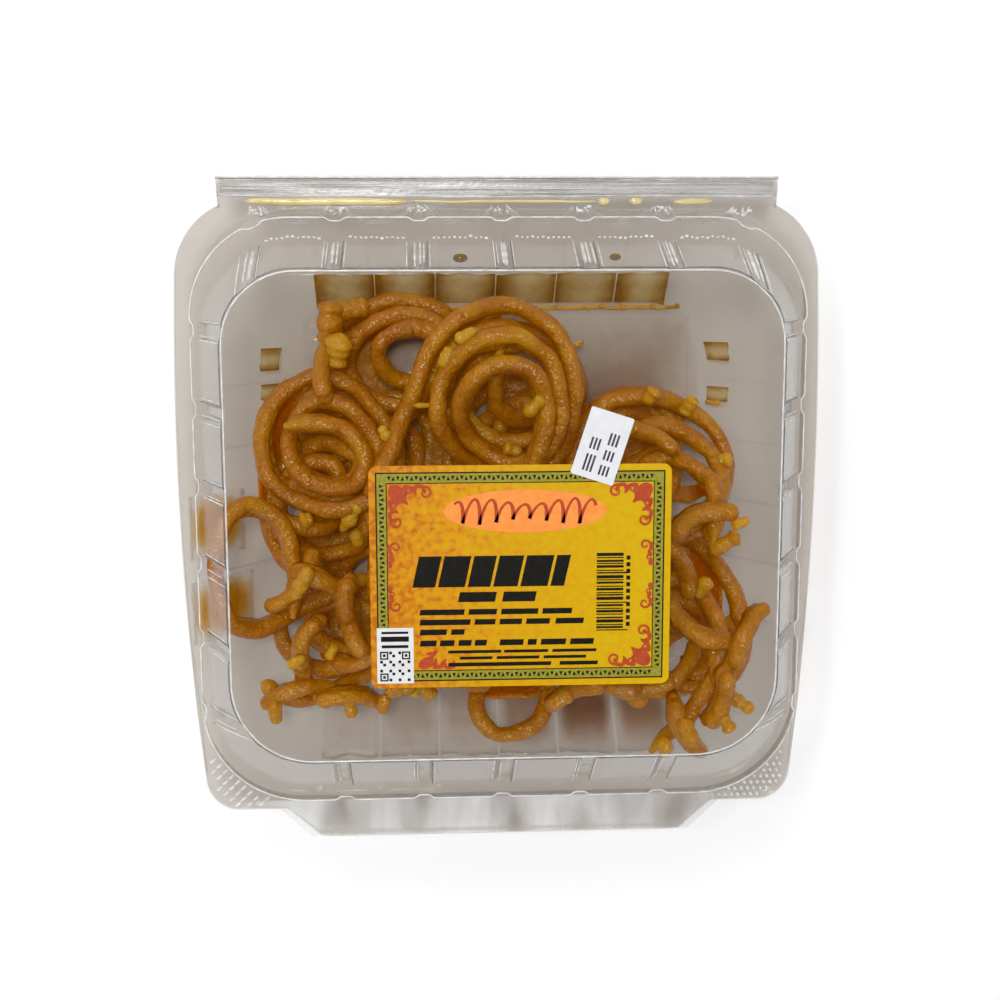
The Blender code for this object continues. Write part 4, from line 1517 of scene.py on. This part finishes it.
def build_label_patch(white, black):
    """The white patch in the label's corner, with a generic pattern of small squares."""
    printed("label_patch", [box_outline(2.0, 1.6, 14.4, 21.0)], PATCH_PAPER, white)
    marks = [(3.6, 18.9, 12.6, 19.7), (3.4, 16.2, 12.8, 18.0), (3.6, 14.0, 12.6, 15.0)]
    for u, v in ((3.0, 2.4), (3.0, 10.0), (10.4, 10.0)):
        marks += [(u, v, u + 2.8, v + 0.5), (u, v + 2.3, u + 2.8, v + 2.8)]
        marks += [(u, v + 0.5, u + 0.5, v + 2.3), (u + 2.3, v + 0.5, u + 2.8, v + 2.3)]
        marks.append((u + 0.95, v + 0.95, u + 1.85, v + 1.85))
    for row in range(10):
        for column in range(10):
            in_corner = (column < 3 and (row < 3 or row > 6)) or (column > 6 and row > 6)
            if not in_corner and (row * 7 + column * 5 + row * column) % 3 == 0:
                u, v = 3.0 + column * 1.03, 2.4 + row * 1.05
                marks.append((u, v, u + 0.95, v + 0.95))
    printed("label_patch_marks", [box_outline(*mark) for mark in marks], PATCH_INK, black)


def build_label():
    """The card with its print, and the white paper it is glued on with."""
    field = (
        (0.12, (0.42, 0.118, 0.003)), (0.30, (0.54, 0.216, 0.004)),
        (0.45, (0.54, 0.278, 0.001)), (0.90, (0.54, 0.360, 0.0005)),
    )
    band = ((0.35, (0.22, 0.19, 0.020)), (0.65, (0.30, 0.27, 0.030)))
    yellow = print_material("label_field", field, 420.0, 0.40, (-0.040, 0.050))
    olive = print_material("label_band", band, 900.0)
    black = ink("label_black", (0.006, 0.005, 0.003), (0.010, 0.009, 0.006), 500.0)
    red = ink("label_red", (0.34, 0.045, 0.016), (0.42, 0.065, 0.022), 500.0)
    salmon = ink("label_oval", (0.74, 0.22, 0.045), (0.80, 0.28, 0.06), 300.0)
    white = ink("label_white", (0.60, 0.60, 0.60), (0.66, 0.66, 0.66), 300.0)
    card = [
        (LABEL_CENTRE[0] + x, LABEL_CENTRE[1] + y)
        for x, y in round_card(*LABEL_SIZE, LABEL_CORNER)
    ]
    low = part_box("label")[0].z
    glued = low + 0.3 * (CARD_TOP - low)
    front = prism(card, glued, CARD_TOP)
    piece("label_card", front, yellow, "lid", False, ("label",))
    piece("label_back", prism(card, low, glued), white, "lid", False)
    build_band(olive, black)
    turns = [math.tau * k / 48 for k in range(48)]
    oval = [(52.3 + 27.5 * math.cos(turn), 60.6 + 7.3 * math.sin(turn)) for turn in turns]
    printed("label_oval_patch", [oval], FIELD_INK, salmon)
    build_scrolls(red)
    build_bars(black)
    build_label_patch(white, black)


def on_sticker(points):
    c, s = math.cos(STICKER_TURN), math.sin(STICKER_TURN)
    x, y = STICKER_CENTRE
    return [(x + c * a - s * b, y + s * a + c * b) for a, b in points]


def build_sticker():
    """The small white sticker, with plain bars in place of its date."""
    paper = ink("sticker_paper", (0.60, 0.60, 0.62), (0.66, 0.66, 0.68), 250.0, 0.5)
    grey = ink("sticker_ink", (0.03, 0.03, 0.035), (0.07, 0.07, 0.08), 900.0)
    card = prism(on_sticker(round_card(*STICKER_SIZE, 0.0006, 3)), *STICKER_Z)
    piece("date_paper", card, paper, "lid", False, ("date_sticker",))
    low, high = STICKER_Z[1] + FIELD_INK[0], STICKER_Z[1] + FIELD_INK[1]
    parts = []
    for column, words in ((-0.0042, (0.0058, 0.0040)), (0.0014, (0.0034, 0.0034, 0.0042))):
        y = -0.0095
        for length in words:
            for x in (column, column + 0.0013, column + 0.0026):
                mark = box_outline(x, y, x + 0.0007, y + length)
                parts.append(prism(on_sticker(mark), low, high))
            y += length + 0.0018
    piece("date_marks", joined(parts), grey, "lid", False)


# ---------------------------------------------------------------- lumps and drips on the coils
# Place in mm, length and width in mm, heading and rise in degrees, paleness; each sits on the
# highest strand near its place.
BITS = (
    ((-56.5, 59.5), 13.0, 9.0, 75, 20, 0.75),
    ((-61.5, 70.5), 16.0, 9.0, 85, 10, 0.05),
    ((-53.0, 73.0), 13.0, 7.0, 10, 0, 0.25),
    ((-13.0, 66.0), 8.0, 4.6, 25, 0, 1.0),
    ((-21.5, 57.5), 8.0, 4.4, 62, 0, 1.0),
    ((-27.0, 40.0), 10.0, 2.2, 2, 0, 1.0),
    ((12.0, 39.5), 9.5, 4.6, 48, 10, 1.0),
    ((33.5, 62.5), 10.0, 2.2, 40, 25, 0.6),
    ((-54.0, -1.5), 14.0, 5.2, 58, 15, 1.0),
    ((-52.0, -10.5), 7.0, 4.4, 100, 0, 0.9),
    ((-70.0, -2.5), 5.0, 6.2, 20, 0, 0.55),
    ((-71.0, -22.0), 15.0, 5.0, 62, 20, 0.75),
    ((-82.5, -72.5), 10.0, 5.0, -85, -10, 0.35),
    ((-55.0, -74.0), 8.0, 4.6, -80, -10, 0.45),
    ((-43.0, -72.0), 8.0, 5.0, -100, -15, 0.35),
    ((-74.0, -52.5), 7.0, 4.2, 30, 0, 1.0),
    ((-62.0, -48.5), 6.0, 3.6, 60, 0, 1.0),
    ((-37.0, -66.0), 12.0, 6.4, 15, 0, 0.30),
    ((-28.0, -70.0), 10.0, 6.0, -50, 0, 0.45),
    ((-19.0, -68.5), 11.0, 6.2, -5, 0, 0.30),
    ((-30.0, -65.0), 8.0, 4.4, 60, 0, 0.9),
    ((56.5, 41.0), 7.0, 5.2, 50, 20, 0.8),
    ((72.0, 36.5), 8.0, 5.6, 60, 20, 0.9),
    ((84.8, 20.5), 6.5, 5.4, 10, 20, 0.8),
    ((86.0, -3.5), 6.5, 4.6, 15, 10, 0.9),
    ((86.5, -11.0), 12.0, 6.2, 35, 10, 0.55),
    ((75.0, -27.0), 9.0, 5.6, 55, 15, 0.8),
    ((88.5, -68.5), 11.0, 5.0, -35, 0, 0.7),
    ((80.0, -74.0), 9.0, 5.4, -60, 0, 0.5),
    ((41.0, -68.5), 13.0, 6.6, -12, 0, 0.35),
    ((52.0, -74.0), 11.0, 7.0, -35, 0, 0.30),
    ((66.0, -76.5), 12.0, 6.6, -70, 0, 0.40),
    ((60.0, -86.0), 9.0, 5.0, -80, -15, 0.9),
    ((20.0, -62.0), 9.0, 5.6, 30, 0, 0.3),
    ((4.0, 24.0), 7.0, 4.4, -20, 0, 0.5),
    ((-44.0, 33.0), 6.0, 3.4, -60, 0, 1.0),
)
REACH = 0.0085
FUSED_CELL = 0.0014
FUSED_REACH = 0.0054
FUSED_STEP = 0.0023
POOL_REACH = 0.0095
# Place in mm, length in mm, heading and bend in degrees, paleness.
BROKEN = (
    ((-78.0, -62.0), 30.0, 10, -70, 0.15),
    ((-64.0, -54.0), 32.0, -20, 90, 0.05),
    ((-76.0, -48.0), 24.0, 70, -80, 0.10),
    ((-52.0, -66.0), 26.0, 170, 60, 0.20),
    ((-50.0, -56.0), 24.0, 30, 90, 0.05),
    ((-72.0, -30.0), 30.0, 50, 70, 0.05),
    ((-60.0, -20.0), 28.0, -40, -70, 0.10),
    ((-58.0, -38.0), 30.0, 100, -60, 0.05),
    ((62.0, -64.0), 30.0, 30, 90, 0.05),
    ((74.0, -56.0), 28.0, 100, -60, 0.10),
    ((64.0, -42.0), 30.0, -30, 80, 0.05),
    ((80.0, -40.0), 26.0, 60, -80, 0.15),
    ((70.0, -18.0), 30.0, 120, 70, 0.05),
    ((66.0, 4.0), 26.0, 20, -80, 0.10),
    ((62.0, -78.0), 26.0, -60, 60, 0.20),
    ((80.0, -66.0), 24.0, 80, 60, 0.15),
    ((46.0, -64.0), 26.0, 0, 70, 0.10),
    ((36.0, -60.0), 24.0, 150, -60, 0.15),
    ((-28.0, -62.0), 26.0, 5, 50, 0.15),
    ((-18.0, -60.0), 24.0, -40, 70, 0.10),
    ((22.0, -58.0), 22.0, 30, -70, 0.10),
    ((-66.0, 52.0), 24.0, 80, -60, 0.15),
    ((52.0, 32.0), 24.0, -20, -60, 0.10),
)


def resting_place(place, width, heap):
    """Where a lump sits: moved onto the nearest high strand, sunk a little into it."""
    at = np.array(place) / 1000
    apart = np.linalg.norm(heap.plan - at, axis=1)
    height = heap.z - 0.9 * apart
    height[apart > REACH] -= 1.0
    best = int(height.argmax()) if (apart < REACH).any() else int(apart.argmin())
    away = at - heap.plan[best]
    far = np.linalg.norm(away)
    allowed = STRAND / 2 + width / 4000
    if far > allowed:
        away = away * allowed / far
    side = min(1.0, np.linalg.norm(away) / allowed)
    lift = (STRAND / 2 + width / 6000) * math.sqrt(max(0.0, 1 - side**2))
    return np.array([*(heap.plan[best] + away), heap.z[best] + lift])


def measured(points, others, measure):
    """The measure of each point's distances to all others, worked out in portions."""
    found = []
    for start in range(0, len(points), 1500):
        apart = np.linalg.norm(points[start : start + 1500, None, :] - others[None, :, :], axis=2)
        found.append(measure(apart))
    return np.concatenate(found)


def nearest(points, others):
    """Each point's distance to the nearest of the others."""
    return measured(points, others, lambda apart: apart.min(axis=1))


def plan_grid(x0, x1, y0, y1, scale, seed):
    """The places of a grid, all its points, and an uneven value at each."""
    xs, ys = np.arange(x0, x1, FUSED_CELL), np.arange(y0, y1, FUSED_CELL)
    grid = np.array([(x, y) for x in xs for y in ys])
    uneven = np.array([noise.noise(Vector((x * scale, y * scale, seed))) for x, y in grid])
    return xs, ys, grid, uneven


def sheet(name, xs, ys, inside, top, bottom, paint):
    """A closed uneven sheet over the marked points of a grid, left open where it is steep."""
    inside = inside.reshape(len(xs), len(ys))
    level = top.reshape(len(xs), len(ys))
    taken = set()
    for i in range(len(xs) - 1):
        for j in range(len(ys) - 1):
            ends = level[i : i + 2, j : j + 2]
            if inside[i : i + 2, j : j + 2].all() and ends.max() - ends.min() < FUSED_STEP:
                taken.add((i, j))
    for _ in range(3):
        taken = {
            (i, j) for i, j in taken
            if sum((i + a, j + b) in taken for a in (-1, 0, 1) for b in (-1, 0, 1)) > 4
        }
    cells = sorted(taken)
    beside = {}
    for i, j in cells:
        for a, b, away in (
            ((i, j), (i + 1, j), (i, j - 1)), ((i + 1, j), (i + 1, j + 1), (i + 1, j)),
            ((i + 1, j + 1), (i, j + 1), (i, j + 1)), ((i, j + 1), (i, j), (i - 1, j)),
        ):
            if away not in taken:
                beside.setdefault(a, []).append(b)
                beside.setdefault(b, []).append(a)
    plan = {key: np.array((xs[key[0]], ys[key[1]])) for i, j in cells
            for key in ((i, j), (i + 1, j), (i, j + 1), (i + 1, j + 1))}
    for _ in range(5):
        moved = {key: 0.4 * plan[key] + 0.6 * np.mean([plan[b] for b in others], axis=0)
                 for key, others in beside.items()}
        plan.update(moved)
    index, points, faces = {}, [], []

    def corner(i, j, up):
        key = (i, j, up)
        if key not in index:
            index[key] = len(points)
            at = i * len(ys) + j
            points.append((*plan[(i, j)], top[at] if up else bottom[at]))
        return index[key]

    for i, j in cells:
        around = ((i, j), (i + 1, j), (i + 1, j + 1), (i, j + 1))
        faces.append(tuple(corner(a, b, True) for a, b in around))
        faces.append(tuple(corner(a, b, False) for a, b in around[::-1]))
        for (a, b), away in zip(
            zip(around, around[1:] + around[:1]), ((i, j - 1), (i + 1, j), (i, j + 1), (i - 1, j))
        ):
            if away not in taken:
                faces.append(
                    (corner(*a, True), corner(*a, False), corner(*b, False), corner(*b, True))
                )
    food_piece(name, [(points, faces, [0.0] * len(points))], paint)


def build_fused(paint, heap):
    """The batter and syrup that fill the gaps between strands that lie side by side."""
    xs, ys, grid, uneven = plan_grid(-0.100, 0.097, -0.090, 0.080, 55, 6.0)
    away = nearest(grid, heap.plan)
    inside = nearest(grid, grid[away > FUSED_REACH]) > FUSED_REACH - STRAND * 0.36
    inside &= (uneven < 0.12) | (away < STRAND * 0.5)

    def height(apart):
        drop = 0.0002 + 0.50 * apart + 4.5 * np.maximum(0.0, apart - 0.0038)
        return (heap.z[None, :] - drop).max(axis=1)

    top = measured(grid, heap.plan, height)
    floor = tub_height(grid) + 0.0008
    inside &= top > floor + 0.0012
    sheet("fused_batter", xs, ys, inside, top, np.maximum(floor, top - 0.0050), paint)


def build_pool(paint, heap):
    """The fused batter and syrup on the floor of the box, below the coils."""
    xs, ys, grid, uneven = plan_grid(-0.088, 0.086, -0.074, 0.072, 48, 9.0)
    open_points = grid[nearest(grid, heap.plan) > POOL_REACH]
    inside = (nearest(grid, open_points) > POOL_REACH + 0.0012) & (uneven < 0.20)
    floor = tub_height(grid)
    sheet("pooled_batter", xs, ys, inside, floor + 0.0026 + 0.0014 * uneven, floor + 0.0005, paint)


def evenly(paleness):
    """The same paleness all along a strand."""
    return lambda along, total, at: paleness


def build_broken(paint, heap):
    """Short broken strands that fill the gaps of the heap."""
    parts = []
    for index, (place, length, heading, bend, paleness) in enumerate(BROKEN):
        count = max(5, int(length / 4))
        turn = math.radians(heading - bend / 2)
        route = [np.array(place) / 1000 - np.array((math.cos(turn), math.sin(turn))) * length / 2200]
        for k in range(count):
            turn = math.radians(heading - bend / 2 + bend * (k + 0.5) / count)
            step = np.array((math.cos(turn), math.sin(turn))) * length / 1000 / count
            route.append(route[-1] + step)
        seed = 3.1 * index + 200
        line = heap.laid(np.array(route), seed)

        def radius_at(s, total, seed=seed):
            base = STRAND / 2 * (1 + 0.2 * noise.noise(Vector((s * 60, seed, 0))))
            return base * math.sqrt(max(0.1, 1 - max(0.0, 1 - min(s, total - s) / 0.003) ** 2))

        parts.append(strand_mesh(line, radius_at, seed, evenly(paleness)))
    food_piece("broken_strands", parts, paint)


def build_bits(paint, heap):
    """Crumbs, lumps and drips of batter on the strands."""
    parts = []
    for index, (place, length, width, heading, rise, paleness) in enumerate(BITS):
        middle = resting_place(place, width, heap)
        turn, lift = math.radians(heading), math.radians(rise)
        way = np.array(
            [math.cos(turn) * math.cos(lift), math.sin(turn) * math.cos(lift), math.sin(lift)]
        )
        side = np.array([-math.sin(turn), math.cos(turn), 0.0])
        span = max(0.0002, (length - width) / 1000)
        line = []
        for k in range(9):
            share = k / 8 - 0.5
            bow = 0.12 * span * (0.25 - share * share) * math.sin(index * 2.1)
            line.append(middle + way * share * length / 1000 + side * bow)

        def radius_at(along, total, width=width, seed=index):
            share = along / total * 2 - 1
            swell = 1 + 0.40 * noise.noise(Vector((along * 380, seed * 3.7, 0)))
            return width / 2000 * swell * math.sqrt(max(0.03, 1 - abs(share) ** 5.0))

        line = smooth_line(line, 0.0009)
        parts.append(strand_mesh(line, radius_at, 11.0 + index, evenly(paleness)))
    food_piece("jalebi_bits", parts, paint)


# ---------------------------------------------------------------- stage, light and camera
def build_stage():
    paint = Paint("floor_paper")
    look = {"Base Color": (0.93, 0.93, 0.93), "Roughness": 0.8, "Specular IOR Level": 0.2}
    corners = [(-4, -4, -0.0002), (4, -4, -0.0002), (4, 4, -0.0002), (-4, 4, -0.0002)]
    mesh = bpy.data.meshes.new("floor")
    mesh.from_pydata(corners, [], [(0, 1, 2, 3)])
    floor = placed("floor", mesh, paint.finished(paint.add("BsdfPrincipled", look)))


# Name, place, size and power of each lamp; all of them point at LIT.
LAMPS = (
    ("key", (-0.10, 0.26, 1.15), (0.16, 0.16), 6.4),
    ("back", (-0.30, 0.95, 1.10), (0.7, 0.4), 4.5),
    ("side", (0.95, -0.25, 1.0), (0.7, 0.7), 2.8),
    ("front", (-0.6, -0.9, 0.9), (0.8, 0.5), 3.2),
    ("glint", (-0.42, 0.30, 1.05), (0.12, 0.08), 1.6),
)
LIT = (0, 0, 0.03)


def build_lamps():
    for name, place, size, power in LAMPS:
        data = bpy.data.lights.new(name, "AREA")
        data.shape = "RECTANGLE"
        data.size, data.size_y = size
        data.energy = power
        lamp = bpy.data.objects.new(name, data)
        lamp.location = place
        direction = Vector(LIT) - Vector(place)
        lamp.rotation_euler = direction.to_track_quat("-Z", "Y").to_euler()
        bpy.context.scene.collection.objects.link(lamp)


def build_sky():
    world = bpy.data.worlds.new("studio")
    world.use_nodes = True
    nodes = Nodes(world.node_tree)
    height = nodes.part(nodes.add("TexCoord").outputs["Generated"], "Z")
    stops = ((0.0, (0.70, 0.71, 0.72)), (0.50, (0.58, 0.59, 0.60)), (0.86, (0.10, 0.10, 0.11)))
    background = world.node_tree.nodes["Background"]
    world.node_tree.links.new(nodes.ramp(height, stops), background.inputs["Color"])
    bpy.context.scene.world = world


def build_camera():
    scene = bpy.context.scene
    data = bpy.data.cameras.new("camera")
    data.sensor_width = 36.0
    data.lens = 54.0
    data.clip_start = 0.01
    camera = bpy.data.objects.new("camera", data)
    camera.location = (-0.02856, 0.09207, 0.57093)
    camera.rotation_euler = [math.radians(turn) for turn in (-9.2376, -3.0931, -0.1187)]
    scene.collection.objects.link(camera)
    scene.camera = camera
    scene.view_settings.view_transform = "Standard"
    scene.cycles.transparent_max_bounces = 44
    scene.cycles.max_bounces = 8
    scene.cycles.diffuse_bounces = 3
    scene.cycles.glossy_bounces = 3


# ---------------------------------------------------------------- all of it
def build_box():
    build_lid(clear_plastic("clear_sheet_lid", (0.866, 0.852, 0.834), (0.77, 0.765, 0.75), 0.06))
    build_base(clear_plastic("clear_sheet_base", (0.880, 0.865, 0.845), (0.76, 0.74, 0.72), 0.09))
    # painted highlights along the lid's creases, and painted shade beside them
    folds = fold_material("crease_highlight_plastic", 0.42, 0.86)
    build_folds(folds, fold_material("shaded_plastic", 0.55, 0.16))
    build_knurls(fold_material("knurled_plastic", 0.40, 0.84))
    # painted highlights: the streaked shine of the hinge bar and of the front lip
    build_streaks(
        fold_material("hinge_bar_streaks", 0.86, 0.66, (14.0, 520.0, 1.0), 0.30, 0.83),
        fold_material("lip_streaks", 0.80, 0.96, (42.0, 16.0, 1.0), 0.22, 0.91),
    )
    # the living hinge and its fold lines take the painted highlight of the creases
    build_hinge(folds)
    build_hinge_folds(folds)
    build_crease_syrup(
        syrup_material("crease_syrup", (0.80, 0.62, 0.20), (0.93, 0.86, 0.55), 0.45)
    )


def build_heap():
    batter = jalebi_material("syruped_batter", 1.0, 0.85)
    # the fused and pooled batter: a copy with painted shade (0.96) and no painted glints
    inner = jalebi_material("fused_batter", 0.96, 0.0)
    heap = Heap()
    build_jalebis(batter, heap)
    build_pool(inner, heap)
    build_broken(batter, heap)
    build_fused(inner, heap)
    build_bits(batter, heap)


def build_syrup():
    build_films(
        syrup_material(
            "syrup_film", (0.70, 0.47, 0.06), (1.0, 0.94, 0.74), 0.08, 0.65, 0.40, (0.18, 0.85)
        ),
        syrup_material(
            "syrup_smear", (0.88, 0.58, 0.05), (0.998, 0.995, 0.98), 0.0, 0.85, 0.22, (0.14, 0.85)
        ),
    )
    # painted shade and painted reflection of the heap, as amber-brown films
    build_heap_shade(
        syrup_material(
            "heap_shade_paint", (0.70, 0.54, 0.43), (0.998, 0.996, 0.994), 0.0, 0.85, 0.22, (0.14, 1.0)
        )
    )
    build_syrup_line(syrup_material("syrup_bright", (0.92, 0.46, 0.03), (1.0, 0.72, 0.16), 0.5))
    build_drops(syrup_material("syrup_drop", (0.20, 0.09, 0.005), (0.42, 0.24, 0.02), 0.35))


def main():
    noise.seed_set(NOISE_SEED)
    build_box()
    build_heap()
    build_syrup()
    build_label()
    build_sticker()
    build_stage()
    build_sky()
    build_lamps()
    build_camera()


main()
